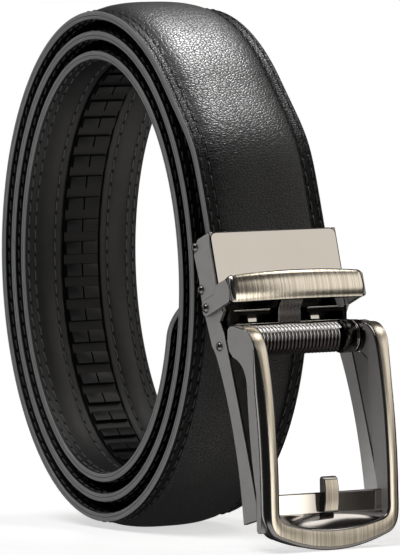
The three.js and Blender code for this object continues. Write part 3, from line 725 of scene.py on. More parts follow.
def strap_leather():
    """Rings along the strap: up one edge, across the domed face and down the other edge."""
    lengths = np.linspace(0, STRAP_LENGTH, int(STRAP_LENGTH / LEATHER_STEP))[:, None]
    inset, rise = edge_profile(SEAM_HEIGHT + 0.03, EDGE_THICKNESS, True)
    half = half_width(lengths)
    face_half = half - EDGE_ROUND
    shares = np.linspace(-1, 1, 71)[1:-1][None, :]
    shares = shares * (1 - 0.12 * (1 - shares**2))
    face = -face_half * shares
    left = -(half - inset[::-1][None, :])
    right = half - inset[None, :]
    across = np.concatenate([right, face, left], 1)
    heights = np.concatenate([
        np.broadcast_to(rise[None, :], right.shape),
        outer_height(lengths, face),
        np.broadcast_to(rise[::-1][None, :], left.shape),
    ], 1)
    rings = on_strap(lengths, across, heights)
    belt = np.stack(np.broadcast_arrays(lengths, across, heights), -1)
    columns = rings.shape[1]
    slot = np.where(np.abs(across[len(lengths) // 2]) > DOME_HALF - 0.2, 2, 0)
    slot[: len(inset) - 2] = 1
    slot[columns - len(inset) + 1 :] = 1
    return Shape().tube(rings, slot, belt, flip=True)


def strap_lining():
    """Rings along the strap: two padded halves, parted by the track's channel, between rounded edges."""
    lengths = np.linspace(0, STRAP_LENGTH, int(STRAP_LENGTH / LINING_STEP))[:, None]
    inset, rise = edge_profile(0, SEAM_HEIGHT - 0.03, False)
    half = half_width(lengths)
    share = half / STRAP_HALF
    channel = smooth_step(lengths, TRACK_START - 2.5, TRACK_START - 1.5)
    channel = channel - smooth_step(lengths, TRACK_END + 1.5, TRACK_END + 2.5)
    fold_turn = np.linspace(0, np.pi / 2, 5)
    fold_x = CHANNEL_HALF + 0.45 - 0.45 * np.sin(fold_turn)
    fold_h = 0.45 * (1 - np.cos(fold_turn))
    flat_x = np.linspace(STRAP_HALF - EDGE_ROUND, CHANNEL_HALF + 0.5, 30)[1:]
    puff = -0.28 * np.clip(1 - ((flat_x - 10.85) / 2.75) ** 2, 0, 1)
    x_half = np.concatenate([flat_x, fold_x, [CHANNEL_HALF - 0.02, CHANNEL_HALF / 2]])
    h_half = np.concatenate([puff, np.zeros(7)])[None, :]
    h_channel = np.concatenate([np.zeros(29), fold_h, [CHANNEL_DEPTH, CHANNEL_DEPTH]])[None, :]
    heights_half = h_half + channel * h_channel
    face_x = np.broadcast_to(x_half[None, :], (len(lengths), x_half.size)) * share
    left_edge = -(half - inset[::-1][None, :])
    right_edge = half - inset[None, :]
    across = np.concatenate([left_edge, -face_x, face_x[:, ::-1], right_edge], 1)
    heights = np.concatenate([
        np.broadcast_to(rise[::-1][None, :], left_edge.shape),
        heights_half,
        heights_half[:, ::-1],
        np.broadcast_to(rise[None, :], right_edge.shape),
    ], 1)
    rings = on_strap(lengths, across, heights)
    belt = np.stack(np.broadcast_arrays(lengths, across, heights), -1)
    columns = rings.shape[1]
    slot = np.zeros(columns, int)
    slot[: len(inset) - 2] = 1
    slot[columns - len(inset) + 2 :] = 1
    return Shape().tube(rings, slot, belt, flip=True)


def stitches(rows, outside):
    """Short arched threads that dive into the leather at both ends, one on each pitch of each row."""
    places = [
        (side * row, pitch, number)
        for row, pitch in rows
        for side in (1, -1)
        for number in range(int((STRAP_LENGTH - 6) / pitch))
    ]
    row, pitch, number = np.array(places).T[:, :, None, None]
    along = np.linspace(-1, 1, STITCH_RINGS)[None, :, None]
    around = np.linspace(0, 2 * np.pi, STITCH_SIDES, endpoint=False)[None, None, :]
    length = np.clip((number + 0.5) * pitch + STITCH_REACH * pitch * along, 0.5, STRAP_LENGTH - 0.5)
    thread = THREAD_RADIUS * (1 - 0.35 * along**4)
    row_out = np.maximum(half_width(length) - (STRAP_HALF - np.abs(row)), 0.3)
    across = np.sign(row) * row_out + STITCH_SLANT * along + thread * np.cos(around)
    arch = STITCH_ARCH * (1 - along**2) - STITCH_DIVE * along**4 + thread * np.sin(around)
    height = EDGE_THICKNESS + arch if outside else -arch
    points = on_strap(length, across, height)
    shape = Shape()
    per_stitch = STITCH_RINGS * STITCH_SIDES
    faces = grid_faces(STITCH_RINGS, STITCH_SIDES, True)
    ends = [list(range(STITCH_SIDES))[::-1], list(range(per_stitch - STITCH_SIDES, per_stitch))]
    if not outside:
        faces = faces[:, ::-1]
        ends = [end[::-1] for end in ends]
    blocks = points.reshape(-1, per_stitch, 3)
    quads = (faces[None] + per_stitch * np.arange(len(blocks))[:, None, None]).reshape(-1, 4)
    caps = [[i + per_stitch * n for i in end] for n in range(len(blocks)) for end in ends]
    return shape.add(blocks, quads.tolist() + caps)


# Ratchet track


def ratchet_track():
    """A flat strip with a pair of blocks on each pitch, parted by a slit in the middle. A block's
    height is the product of its profile along the strap and its rail across it."""
    shape = Shape()
    lengths = np.linspace(TRACK_START, TRACK_END, TRACK_TEETH * 6)[:, None]
    x = np.array([TRACK_HALF, TRACK_HALF, -TRACK_HALF, -TRACK_HALF])[None, :]
    h = np.array([0.5, -0.05, -0.05, 0.5])[None, :]
    shape.tube(on_strap(lengths, x, h), flip=False)
    block = TOOTH_BLOCK_SHARE * TOOTH_PITCH
    starts = TRACK_START + TOOTH_PITCH * np.arange(TRACK_TEETH)
    rail = np.array([[0.22, 0.0], [0.22, 1.0], [0.4, 1.0], [4.75, 1.0], [4.9, 0.9], [4.95, 0.0]])
    profile = np.array([
        [0.0, -0.05], [0.12, 0.7], [0.35, 0.82], [0.82 * block, 0.97],
        [block, 1.0], [block + 0.12, 0.5], [block + 0.2, -0.05],
    ])
    for side in (1, -1):
        for start in starts:
            lengths = (start + profile[:, 0])[:, None]
            across = side * rail[None, :, 0]
            height = -0.02 - rail[None, :, 1] * np.maximum(profile[:, 1], 0.0)[:, None] * 0.98
            shape.tube(on_strap(lengths, across, height), flip=side < 0)
    return shape


# Buckle helpers: the hinge pin is at y = 0 and z = PIN_Z in these outlines


def box(front, back, bottom, top):
    """The outline of a block in y and z."""
    return [(front, bottom), (back, bottom), (back, top), (front, top)]


def at_clamp(down, out):
    """A point, seen from the pin, that lies down the clamped strap and out from its edge line."""
    place = CLAMP_START - [PIN_Y, 0] - down * STRAP_UP + out * STRAP_OUT
    return tuple(place)


def placed(shape):
    """Moves a shape from the pin's frame to the belt's."""
    shape.points = [points + [0, PIN_Y, 0] for points in shape.points]
    return shape


def clamp_slab(outline, inner, outer):
    """A plate with an outline of x and down, lying between two distances out from the strap."""
    outline = np.asarray(outline, float)
    shape = Shape()
    rings = []
    for out in (inner, outer):
        base = np.array([at_clamp(down, out) for down in outline[:, 1]])
        rings.append(np.column_stack([outline[:, 0], base]))
    return shape.tube(rings)


def arm_front():
    """The long arms' front edge from the heel up to the neck, as one bend."""
    return curve((FRAME_BACK + 1.5, 0.235 * PIN_Z), (-3.8, 0.563 * PIN_Z), (5.6, PIN_Z + 2.1), 20)


def base_channel():
    """Two side plates with long arms that curve down behind the frame, and the bar at their feet."""
    sides = Shape()
    outline = [
        at_clamp(CLAMP_PLATE_START, CLAMP_OUTER - 0.1),
        at_clamp(CLAMP_PLATE_START + 0.3, JAW_FACE - 1.7),
        at_clamp(CLAMP_PLATE_START + 3.8, JAW_FACE - 4.7),
        at_clamp(CLAMP_PLATE_END - 6.2, JAW_FACE - 4.1),
        at_clamp(CLAMP_PLATE_END - 1.1, JAW_FACE - 4.5),
        (PIN_TO_STRAP + 0.2, PIN_Z + 7.5),
        (12.2, PIN_Z - 1.5),
        *curve((10, PIN_Z - 4.2), (0.1, 0.582 * PIN_Z), (FRAME_BACK + 8.2, 0.122 * PIN_Z), 20),
        (FRAME_BACK + 8.2, 0.122 * PIN_Z),
        (FRAME_BACK + 1.4, 0.152 * PIN_Z),
        *arm_front(),
        (5.6, PIN_Z + 2.1),
        (8, PIN_Z + 4.7),
        (6.2, PIN_Z + 7.4),
        at_clamp(CLAMP_PLATE_END, CLAMP_OUTER - 0.1),
    ]
    slot = np.zeros(len(outline), int)
    # The arms' front edges take the painted dark, a near-black stand-in for their dark reflection
    slot[27:50] = 2
    sides.prism(outline, PLATE_INNER, PLATE_OUTER, slot)
    # The face that looks inwards gets the lighter satin copy: painted light
    sides.slots[-2] = 3
    sides.mirrored()
    sides.prism(box(FRAME_BACK + 2.3, FRAME_BACK + 5.3, 8.4, 11.6), -PLATE_INNER - 0.1, PLATE_INNER + 0.1)
    return placed(sides)


def painted_shade_webs():
    """Thin near-black webs of painted shade in the side gaps, from the backs of the frame's bars to the
    arms' front edges.
    """
    ear = curve((-7, 0.777 * PIN_Z), (-6.6, PIN_Z - 5.4), (-0.2, PIN_Z - 4.1), 16)
    bars = np.concatenate([back_line()[:-1], ear])
    arms = arm_front()
    up = np.linspace(0.24 * PIN_Z, PIN_Z - 4.3, 24)
    front, back = (
        np.column_stack([np.interp(up, line[:, 1], line[:, 0]) + WEB_GAP, up]) for line in (bars, arms)
    )
    outline = np.concatenate([front, back[::-1]])
    web = Shape().prism(outline, PLATE_INNER + 0.3, PLATE_OUTER - 0.3)
    # The face that looks inwards gets the same lighter satin copy as the arms' inner faces: painted light
    web.slots[-2] = 1
    return placed(web.mirrored())


def clamp_plate():
    """The plate on the strap, with two rounded upper corners."""
    half = PLATE_OUTER
    corner = CLAMP_PLATE_CORNER
    top = CLAMP_PLATE_START
    outline = np.concatenate([
        [(-half, CLAMP_PLATE_END)],
        curve((-half, top + corner), (-half, top), (-half + corner, top), 8),
        [(-half + corner, top)],
        curve((half - corner, top), (half, top), (half, top + corner), 8),
        [(half, top + corner), (half, CLAMP_PLATE_END)],
    ])
    return placed(clamp_slab(outline, CLAMP_INNER, CLAMP_OUTER))


def keeper():
    """A bar whose front bulges by a parabola, whose top arches by another, and whose ends are bevelled."""
    bar = Shape()
    height = KEEPER_HEIGHT
    # The ends' bevel: how far it is cut back at stations from the end inwards
    stations = np.array([0.0, 0.12, 0.5, 1.1, 1.35])
    insets = np.array([1.15, 0.95, 0.45, 0.06, 0.0])
    between = np.linspace(KEEPER_HALF - 2.2, -KEEPER_HALF + 2.2, 24)
    xs = np.concatenate([KEEPER_HALF - stations, between, -KEEPER_HALF + stations[::-1]])
    inset = np.concatenate([insets, np.zeros(24), insets[::-1]])
    t = np.linspace(0, 1, 14)
    bulge = 0.75 * (1 - (2 * t - 1) ** 2)
    rings = []
    for x, cut in zip(xs, inset):
        bow = (x / KEEPER_HALF) ** 2
        arch = 0.65 * (1 - bow)
        top = KEEPER_START - arch + 0.75 * cut
        bottom = KEEPER_START + height - 0.45 * cut
        downs = top + (bottom - top) * t
        outs = KEEPER_FRONT - 0.75 - 1.1 * bow + bulge - cut
        ring = [(top, KEEPER_BACK), (top, outs[0] - 0.5), (top + 0.12, outs[0] - 0.12)]
        ring += list(zip(downs[1:-1], outs[1:-1]))
        ring += [(bottom - 0.1, outs[-1] - 0.08), (bottom, outs[-1] - 0.45), (bottom, KEEPER_BACK)]
        rings.append([(x, *at_clamp(down, out)) for down, out in ring])
    # Painted dark on the ends, the top, the bottom and the back; painted highlight lines just inside each
    # end
    slot = np.zeros((len(rings) - 1, len(rings[0])), int)
    slot[:2] = slot[-2:] = 1
    slot[2:4] = slot[-4:-2] = 2
    slot[:, -3:] = 1
    slot[:, :2] = 1
    bar.tube(rings, slot, flip=True, cap_slot=1)
    return placed(bar)


def keeper_arms():
    """One outline for both arms: a shoulder behind the bar, a waist, and a foot around the rivet."""
    arms = Shape()
    shoulder = KEEPER_FRONT - 1.75
    end = KEEPER_START + KEEPER_HEIGHT - 0.5
    outline = [
        at_clamp(KEEPER_START + 0.8, shoulder),
        at_clamp(KEEPER_START + 0.8, CLAMP_OUTER + 1.3),
        at_clamp(KEEPER_START + 2.9, CLAMP_INNER),
        at_clamp(KEEPER_START + 3.1, -4.2),
        at_clamp(KEEPER_START + 4.2, -5.3),
        at_clamp(KEEPER_START + KEEPER_HEIGHT - 0.6, -5.3),
        at_clamp(KEEPER_START + KEEPER_HEIGHT + 0.4, -4.2),
        at_clamp(end, KEEPER_BACK),
        at_clamp(end, shoulder),
    ]
    arms.prism(outline, PLATE_OUTER + 0.2, KEEPER_HALF - 0.02).mirrored()
    return placed(arms)


def chassis():
    """The bridge with its window and two tabs, and the flanges that carry the pin."""
    shape = Shape()
    bottom, top = BRIDGE_BOTTOM, BRIDGE_TOP
    turn = np.linspace(0.45 * np.pi, 1.55 * np.pi, 20)
    nose = np.column_stack([4.2 * np.cos(turn), PIN_Z + 4.2 * np.sin(turn)])
    flange = [
        *nose, (10, PIN_Z - 3.7), (13, PIN_Z + 2.2),
        (15.4, PIN_Z + 6.6), (15, PIN_Z + 10), (11.2, PIN_Z + 10), (9.8, top), (5, top), (5, PIN_Z + 4),
    ]
    shape.prism(flange, FLANGE_INNER, FLANGE_OUTER, 0, 0).mirrored()
    shape.prism(box(10.4, 14.8, bottom, top), -BRIDGE_HALF, BRIDGE_HALF)
    shape.prism(box(13.6, 14.8, top - 0.1, top + 2.7), -BRIDGE_HALF, BRIDGE_HALF)
    for side in (1, -1):
        low, high = sorted((side * 5.5, side * BRIDGE_HALF))
        shape.prism(box(5, 10.5, bottom, top), low, high)
        # The chassis takes the painted dark; these bright strips on the bridge's front edge and the bright
        # tabs are painted highlights
        strip = [(4.8, top - 0.3), (5.4, top - 0.3), (5.4, top + 0.05), (4.9, top + 0.05)]
        shape.prism(strip, low, high, 1, 1)
        low, high = sorted((side * 8.1, side * 10.7))
        tab = [(8.0, bottom + 0.2), (7.5, PIN_Z + 4.3), (8.9, PIN_Z + 4.3), (8.9, bottom + 0.2)]
        shape.prism(tab, low, high, 1, 1)
    shape.prism(box(10.4, 11.2, PIN_Z + 2.0, bottom + 0.1), -BRIDGE_HALF, BRIDGE_HALF)
    return placed(shape)


def lathe(profile, centre, side=1, count=28):
    """A profile of distance along X and radius, turned around X."""
    profile = np.asarray(profile, float)
    around = np.linspace(0, 2 * np.pi, count, endpoint=False)[None, :]
    x = centre[0] + side * profile[:, :1] + 0 * around
    y = centre[1] + profile[:, 1:] * np.cos(around)
    z = centre[2] + profile[:, 1:] * np.sin(around)
    return np.stack([x, y, z], -1)


def rivet(places, outer, inner):
    """Domed heads with a small collar on a plate's outer face, on both sides or one, and their shank."""
    turn = np.linspace(0.12, np.pi / 2, 7)
    dome = np.column_stack([0.1 + 0.82 * np.cos(turn), RIVET_RADIUS * np.sin(turn)])
    collar = [[0.06, RIVET_RADIUS + 0.08], [0.0, RIVET_RADIUS + 0.1]]
    shank = [[0.0, SHANK_RADIUS], [inner - outer, SHANK_RADIUS]]
    profile = np.concatenate([dome, collar, shank])
    shape = Shape()
    for side, place in places:
        shape.tube(lathe(profile, (side * (outer + 0.04), *place), side), flip=side > 0)
    return placed(shape)


def pawl():
    """A plate behind the spring on two hubs, the right one thick, and a tongue up through the window."""
    shape = Shape()
    hub = [
        (0.0, 1.3), (0.0, 3.9), (0.25, 4.25), (0.6, 4.35), (3.3, 4.35), (3.6, 4.1),
        (3.7, 3.7), (3.9, 3.7), (4.05, 4.1), (4.4, 4.1), (4.4, 1.3),
    ]
    shape.tube(lathe(hub, (11.6, 0, PIN_Z), 1), flip=True)
    thin = [(0.0, 1.3), (0.0, 4.1), (0.15, 4.3), (0.75, 4.3), (0.9, 4.1), (0.9, 1.3)]
    shape.tube(lathe(thin, (-16.0, 0, PIN_Z), 1), flip=True)
    shape.prism(box(4.6, 5.8, PIN_Z - 3.2, PIN_Z + 4.1), -16, 16)
    tongue = [
        (4.6, PIN_Z + 3.9), (4.6, PIN_Z + 7.4), (3.1, PIN_Z + 9.8),
        (4.0, PIN_Z + 10.6), (5.8, PIN_Z + 7.8), (5.8, PIN_Z + 3.9),
    ]
    shape.prism(tongue[::-1], -TONGUE_HALF, TONGUE_HALF, 2, 2)
    return placed(shape)


def return_spring():
    """A round wire on a helix, one turn to each pitch."""
    left, right = SPRING_LEFT + SPRING_WIRE, SPRING_RIGHT - SPRING_WIRE
    turns = (right - left) / SPRING_PITCH
    t = np.linspace(0, 1, int(turns * SPRING_STEPS))[:, None]
    angle = 2 * np.pi * turns * t
    radius = SPRING_RADIUS - SPRING_WIRE
    around = np.linspace(0, 2 * np.pi, WIRE_SIDES, endpoint=False)[None, :]
    reach = radius + SPRING_WIRE * np.cos(around)
    x = left + (right - left) * t + SPRING_WIRE * np.sin(around)
    rings = np.stack([x, reach * np.cos(angle), PIN_Z + reach * np.sin(angle)], -1)
    return placed(Shape().tube(rings, flip=True))


# Main frame

BEVEL_WIDTH = 1.25
BEVEL_DEPTH = 3.1
BEVEL_FULL = 41.0
BEVEL_TIP = 52.4
LOW_BEVEL = 1.0
CROWN = 0.12
INNER_ROUND = 0.6
SIDE_SET_BACK = 0.35


def front_line():
    """A side bar's front in y and z, from the floor up and back over the top."""
    foot = np.linspace((FRAME_FRONT, 0), (FRAME_FRONT, 9), 8, endpoint=False)
    low, high, end = (FRAME_FRONT + 0.1, 18), (FRAME_FRONT + 4, PIN_Z - 4.3), (-5.1, FRAME_TOP - 0.3)
    rise = np.linspace((FRAME_FRONT, 9), low, 6, endpoint=False)
    bend = curve(low, (FRAME_FRONT + 0.6, 0.657 * PIN_Z), high, 30)
    curl = curve(high, (FRAME_FRONT + 5.7, FRAME_TOP - 0.6), end, 24)
    return np.concatenate([foot, rise, bend, curl, [end]])


FRONT_LINE = front_line()
FRONT_LENGTH = np.concatenate([[0], np.cumsum(np.linalg.norm(np.diff(FRONT_LINE, axis=0), axis=1))])


def on_front(x, length, depth):
    """Points at lengths up the front line and depths behind it."""
    x, length, depth = np.broadcast_arrays(x, length, depth)
    place = lambda l: np.stack([np.interp(l, FRONT_LENGTH, FRONT_LINE[:, axis]) for axis in (0, 1)], -1)
    ahead = place(np.minimum(length + 0.6, FRONT_LENGTH[-1])) - place(np.maximum(length - 0.6, 0))
    ahead /= np.linalg.norm(ahead, axis=-1, keepdims=True)
    at = place(np.clip(length, 0, None))
    return np.stack([x, at[..., 0] + ahead[..., 1] * depth, at[..., 1] - ahead[..., 0] * depth], -1)


def back_line():
    """A side bar's back in y and z, from the foot up to the neck."""
    lower = [(FRAME_BACK, 5.6), (FRAME_BACK, 0.281 * PIN_Z)]
    bend = curve((FRAME_BACK, 0.281 * PIN_Z), (-7.8, 0.488 * PIN_Z), (-7, 0.777 * PIN_Z), 24)
    return np.concatenate([lower[:1], bend, [(-7, 0.777 * PIN_Z)]])


def side_bevel(length):
    """Width and depth of a side bar's wide bevel: full up to BEVEL_FULL, then by a root to almost
    nothing at BEVEL_TIP."""
    height = np.interp(length, FRONT_LENGTH, FRONT_LINE[:, 1])
    share = np.sqrt(np.clip((BEVEL_TIP - height) / (BEVEL_TIP - BEVEL_FULL), 0, 1))
    return 0.2 + (BEVEL_WIDTH - 0.2) * share, 0.25 + (BEVEL_DEPTH - 0.25) * share


def frame_hoop():
    """The brushed front between an inner and an outer line, with a wide bevel along the outer one.

    Each row runs across the bar: its inner rounding, a front crowned by a parabola, then a quarter
    of an ellipse for the bevel."""
    top = FRONT_LENGTH[-1]
    count = 70
    up = top - np.linspace(0, 1, count, endpoint=False) * (top - 10.6)
    side_in = np.column_stack([np.full(count, -BAND_INNER), up])
    side_out = np.column_stack([np.full(count, -FRAME_HALF), up])
    inner_z = lambda x: BOTTOM_BAR + INNER_SAG * (x / FRAME_HALF) ** 2
    outer_z = lambda x: BOTTOM_SAG * (x / FRAME_HALF) ** 2
    corner_in = curve((-BAND_INNER, 10.6), (-BAND_INNER, inner_z(15.6)), (-13.6, inner_z(13.6)), 14)
    corner = (-FRAME_HALF + 0.05, outer_z(19.0) - 0.4)
    corner_out = curve((-FRAME_HALF, 10.6), corner, (-15.2, outer_z(15.2)), 14)
    low_in = np.linspace(-13.6, 0, 20)
    low_out = np.linspace(-15.2, 0, 20)
    inner = np.concatenate([side_in, corner_in, np.column_stack([low_in, inner_z(low_in)])])
    outer = np.concatenate([side_out, corner_out, np.column_stack([low_out, outer_z(low_out)])])
    flip = lambda line: np.concatenate([line, line[-2::-1] * [-1, 1]])
    inner, outer = flip(inner), flip(outer)
    on_side = smooth_step(np.minimum(inner[:, 1], outer[:, 1]), 3.5, 10.0)
    width = np.linalg.norm(outer - inner, axis=1)
    length = inner[:, 1]
    back_y = np.interp(length, back_line()[:, 1], back_line()[:, 0])
    front_y = np.interp(length, FRONT_LENGTH, FRONT_LINE[:, 0])
    depth = np.clip(back_y - front_y, 2.1, 7.0)
    curl = smooth_step(length, 0.84 * top, 0.97 * top)
    depth = depth * (1 - curl) + 2.1 * curl
    wide, deep = side_bevel(length)
    wide = LOW_BEVEL + (wide - LOW_BEVEL) * on_side
    deep = np.minimum(LOW_BEVEL + (deep - LOW_BEVEL) * on_side, depth - 0.4)
    rounding = np.linspace(0, np.pi / 2, 5)
    turn = np.linspace(0, np.pi / 2, 10)
    r = INNER_ROUND
    rows = []
    for w, d, c, e, side in zip(width, depth, wide, deep, on_side):
        step = SIDE_SET_BACK * side
        crown = np.linspace(r, w - c, 9)[1:-1]
        middle, reach = (r + w - c) / 2, (w - c - r) / 2
        rows.append([
            (0.0, d),
            *[(r - r * np.cos(a), r - r * np.sin(a)) for a in rounding],
            *[(a, -CROWN * (1 - ((a - middle) / reach) ** 2)) for a in crown],
            *[(w - c + c * np.sin(a), e * (1 - np.cos(a))) for a in turn],
            (w - 0.02, e + 0.03),
            (w - 0.05 - step, e + 0.1),
            (w - 0.05 - step, d - 0.3),
            (w - 0.4 - step, d),
        ])
    rows = np.array(rows)
    share = rows[..., 0] / width[:, None]
    x = inner[:, :1] + (outer - inner)[:, :1] * share
    up = inner[:, 1:] + (outer - inner)[:, 1:] * share
    slot = np.ones(rows.shape[1], int)
    slot[0] = 2
    slot[5:13] = 0
    return placed(Shape().tube(on_front(x, up, rows[..., 1]), slot, flip=True, cap_slot=2))


def frame_sides():
    """Flat side plates with rounded ears, just inside the chamfer."""
    lengths = np.linspace(7.0, FRONT_LENGTH[-1], 60)
    inset = side_bevel(lengths)[1] + 0.04
    front = on_front(0.0, lengths, inset)[:, 1:]
    outline = [
        (FRAME_FRONT + BEVEL_DEPTH + 0.9, 5.0),
        (FRAME_FRONT + BEVEL_DEPTH + 0.2, 5.9),
        *front[:-1],
        (-5.1, FRAME_TOP - 0.3 - 0.35),
        (-0.4, FRAME_TOP),
        (1.4, FRAME_TOP - 0.25),
        (2.3, FRAME_TOP - 1.1),
        (2.5, PIN_Z),
        (1.7, PIN_Z - 2.5),
        *curve((-0.2, PIN_Z - 4.1), (-6.6, PIN_Z - 5.4), (-7, 0.777 * PIN_Z), 16),
        *curve((-7, 0.777 * PIN_Z), (-7.8, 0.488 * PIN_Z), (FRAME_BACK, 0.281 * PIN_Z), 20),
        (FRAME_BACK, 0.281 * PIN_Z),
        (FRAME_BACK, 5.6),
        (FRAME_BACK - 0.6, 5.0),
    ]
    return placed(Shape().prism(outline, PLATE_INNER, FRAME_HALF - 0.02).mirrored())


def lower_bar():
    """The polished slope behind the lower bar's front and the back wall, which bows a little in plan."""
    shape = Shape()
    xs = np.linspace(-BAND_INNER - 0.3, BAND_INNER + 0.3, 61)
    t = np.linspace(0, 1, 10)
    rings = []
    for x in xs:
        bow = (x / FRAME_HALF) ** 2
        inner = BOTTOM_BAR + INNER_SAG * bow
        outer = BOTTOM_SAG * bow
        foot = max(WALL_FOOT, inner + 0.3)
        lip = FRAME_FRONT + 0.42
        wall = WALL_FRONT - 0.35 + WALL_BOW * bow - WALL_SKEW * x / FRAME_HALF
        # The slope starts steep at the lip and levels out towards the wall
        near, low = lip + 0.5, inner + 0.12
        slope = [
            (x, near + (wall - 0.35 - near) * a, low + (foot - low) * (1.35 * a - 0.35 * a * a)) for a in t
        ]
        rings.append([
            (x, lip, outer + 1.2), (x, lip, inner - 0.02), *slope, (x, wall, foot + 0.3),
            (x, wall, WALL_TOP - 0.25), (x, wall + 0.08, WALL_TOP - 0.07), (x, wall + 0.25, WALL_TOP),
            (x, FRAME_BACK - 0.25, WALL_TOP), (x, FRAME_BACK - 0.05, WALL_TOP - 0.2),
            (x, FRAME_BACK - 0.05, outer + 1.4), (x, FRAME_BACK - 0.6, outer + 0.9),
        ])
    slot = np.zeros(20, int)
    # The back wall's face takes the painted highlight
    slot[12] = 1
    return placed(shape.tube(rings, slot, flip=False))


def prong_stub():
    """A short post with a bulging brushed front, standing on the slope against the wall."""
    bottom, top = WALL_FOOT + 0.3, WALL_FOOT + 9.6
    back, front = WALL_FRONT - 0.3, FRAME_FRONT + 1.5
    t = np.linspace(0, 1, 12)
    face = [(front - 0.32 + 0.6 * (2 * u - 1) ** 2, bottom + 0.4 + (top - bottom - 1.0) * u) for u in t]
    outline = [(back, bottom), (front + 0.7, bottom), *face]
    outline += [(front + 1.0, top), (back - 0.5, top), (back, top - 0.5)]
    slot = np.ones(len(outline), int)
    slot[2 : 1 + len(face)] = 0
    return placed(Shape().prism(outline, -POST_HALF, POST_HALF, slot, 1))


# Studio


def add_floor():
    """A round pale floor that glows a little and keeps out of the metal's reflections."""
    count = 128
    around = np.linspace(0, 2 * np.pi, count, endpoint=False)
    mesh = bpy.data.meshes.new("floor")
    points = np.column_stack([0.5 * np.cos(around), 0.5 * np.sin(around), np.zeros(count)])
    mesh.from_pydata(points.tolist(), [], [list(range(count))])
    glow = {"Emission_Color": (1, 1, 1, 1), "Emission_Strength": FLOOR_GLOW}
    surface = material("pale_floor").finish((0.85, 0.85, 0.85), 0.9, Specular_IOR_Level=0.1, **glow)
    mesh.materials.append(surface)
    floor = bpy.data.objects.new("floor", mesh)
    bpy.context.scene.collection.objects.link(floor)
    floor.visible_glossy = False
    floor.visible_diffuse = False


# Cards of the studio: turn from and to (0 is the front, 90 the right), climb from and to, softness, level
CARDS = (
    (-180, -150, -25, 45, 2, 5, 0.05),
    (165, 181, -25, 45, 2, 5, 0.05),
    (-146, -139, -25, 55, 1.5, 5, 1.6),
    (-28, 2, -40, 30, 6, 8, 0.12),
    (4, 24, -16, 6, 1.5, 3, 2.2),
    (27, 88, 5, 40, 3, 3, 0.9),
    (54, 100, 50, 64, 3, 2, 3.4),
    (-140, -40, 52, 82, 6, 6, 3.0),
    (-118, 80, -75, -18, 6, 4, 0.75),
    (-181, 181, 78, 91, 1, 5, 0.4),
    (-181, 181, -91, -40, 1, 8, 0.1),
)
FLOOR_GLOW = 0.62


def add_studio():
    """A dark studio with lit cards at set turns and climbs, seen as plain white past the object."""
    world = bpy.data.worlds.new("studio")
    bpy.context.scene.world = world
    make = Maker(world)
    x, y, z = make.split(make.node("ShaderNodeTexCoord", output="Generated"))
    degrees = math.degrees(1)
    turn = make.node("ShaderNodeMath", {"operation": "ARCTAN2"}, {0: x, 1: y * -1.0}) * degrees
    climb = make.node("ShaderNodeMath", {"operation": "ARCSINE"}, {0: z}) * degrees
    level = 0.03
    for left, right, low, high, soft_sides, soft_ends, strength in CARDS:
        sides = turn.step(left - soft_sides, left + soft_sides)
        sides = sides * turn.fall(right - soft_sides, right + soft_sides)
        ends = climb.step(low - soft_ends, low + soft_ends)
        ends = ends * climb.fall(high - soft_ends, high + soft_ends)
        level = sides * ends * strength + level
    seen = make.node("ShaderNodeLightPath", output="Is Camera Ray")
    strength = seen + (1 - seen) * level
    warm = turn.step(0.0, 10.0) * turn.fall(85.0, 95.0) * climb.fall(60.0, 80.0) * (1 - seen)
    color = make.mix(warm, (1.0, 1.0, 1.0), (1.0, 0.96, 0.91))
    background = make.node("ShaderNodeBackground", None, {"Color": color, "Strength": strength})
    make.node("ShaderNodeOutputWorld", None, {"Surface": background})


def add_lamp(name, towards, distance, aim, size, power, receivers, blockers=()):
    """A square lamp at a distance from its aim. It lights only its receivers, and where blockers
    are named, only they shade it."""
    data = bpy.data.lights.new(name, "AREA")
    data.shape = "SQUARE"
    data.size = size
    data.energy = power
    lamp = bpy.data.objects.new(name, data)
    bpy.context.scene.collection.objects.link(lamp)
    lamp.visible_diffuse = False
    towards = np.array(towards) / np.linalg.norm(towards)
    side = np.cross([0, 0, 1], towards)
    side /= np.linalg.norm(side)
    matrix = np.eye(4)
    matrix[:3, 0], matrix[:3, 1], matrix[:3, 2] = side, np.cross(towards, side), towards
    matrix[:3, 3] = np.array(aim) + distance * towards
    lamp.matrix_world = matrix.T.tolist()
    for role, pieces in (("receiver_collection", receivers), ("blocker_collection", blockers)):
        if pieces:
            group = bpy.data.collections.new(f"{name}_{role}")
            for item in pieces:
                group.objects.link(item)
            setattr(lamp.light_linking, role, group)


def finish_cad_nodes():
    """CAD nodes whose own shape is right get their finish."""
    for name in ("clamp_jaw", "hinge_pin"):
        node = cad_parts[name]
        node.data.materials.clear()
        node.data.materials.append(POLISHED)


add_camera()
add_floor()
add_studio()
finish_cad_nodes()

leather = piece(
    strap_leather(), "strap_leather", [LEATHER, EDGE, MARGIN], "base", "leather", ["strap"], sharp=60
)
piece(strap_lining(), "strap_lining", [LINING, EDGE], "base", "leather", [], sharp=60)
piece(stitches(EDGE_ROWS, True), "outer_stitches", [THREAD], "base", "leather", [], sharp=80)
piece(stitches(LINING_ROWS, False), "lining_stitches", [LINING_THREAD], "base", "leather", [], sharp=80)
piece(ratchet_track(), "toothed_track", [TRACK], "base", "track", ["ratchet_track"], sharp=25)
arms_and_plates = piece(
    base_channel(), "side_plates", [SATIN, POLISHED, PAINTED_DARK, PAINTED_LIGHT_SATIN], "base", "polished",
    ["base_channel"], bevel=0.22, bevel_slot=1,
)
piece(painted_shade_webs(), "painted_shade_webs", [PAINTED_DARK, PAINTED_LIGHT_SATIN], "base", "polished", [])
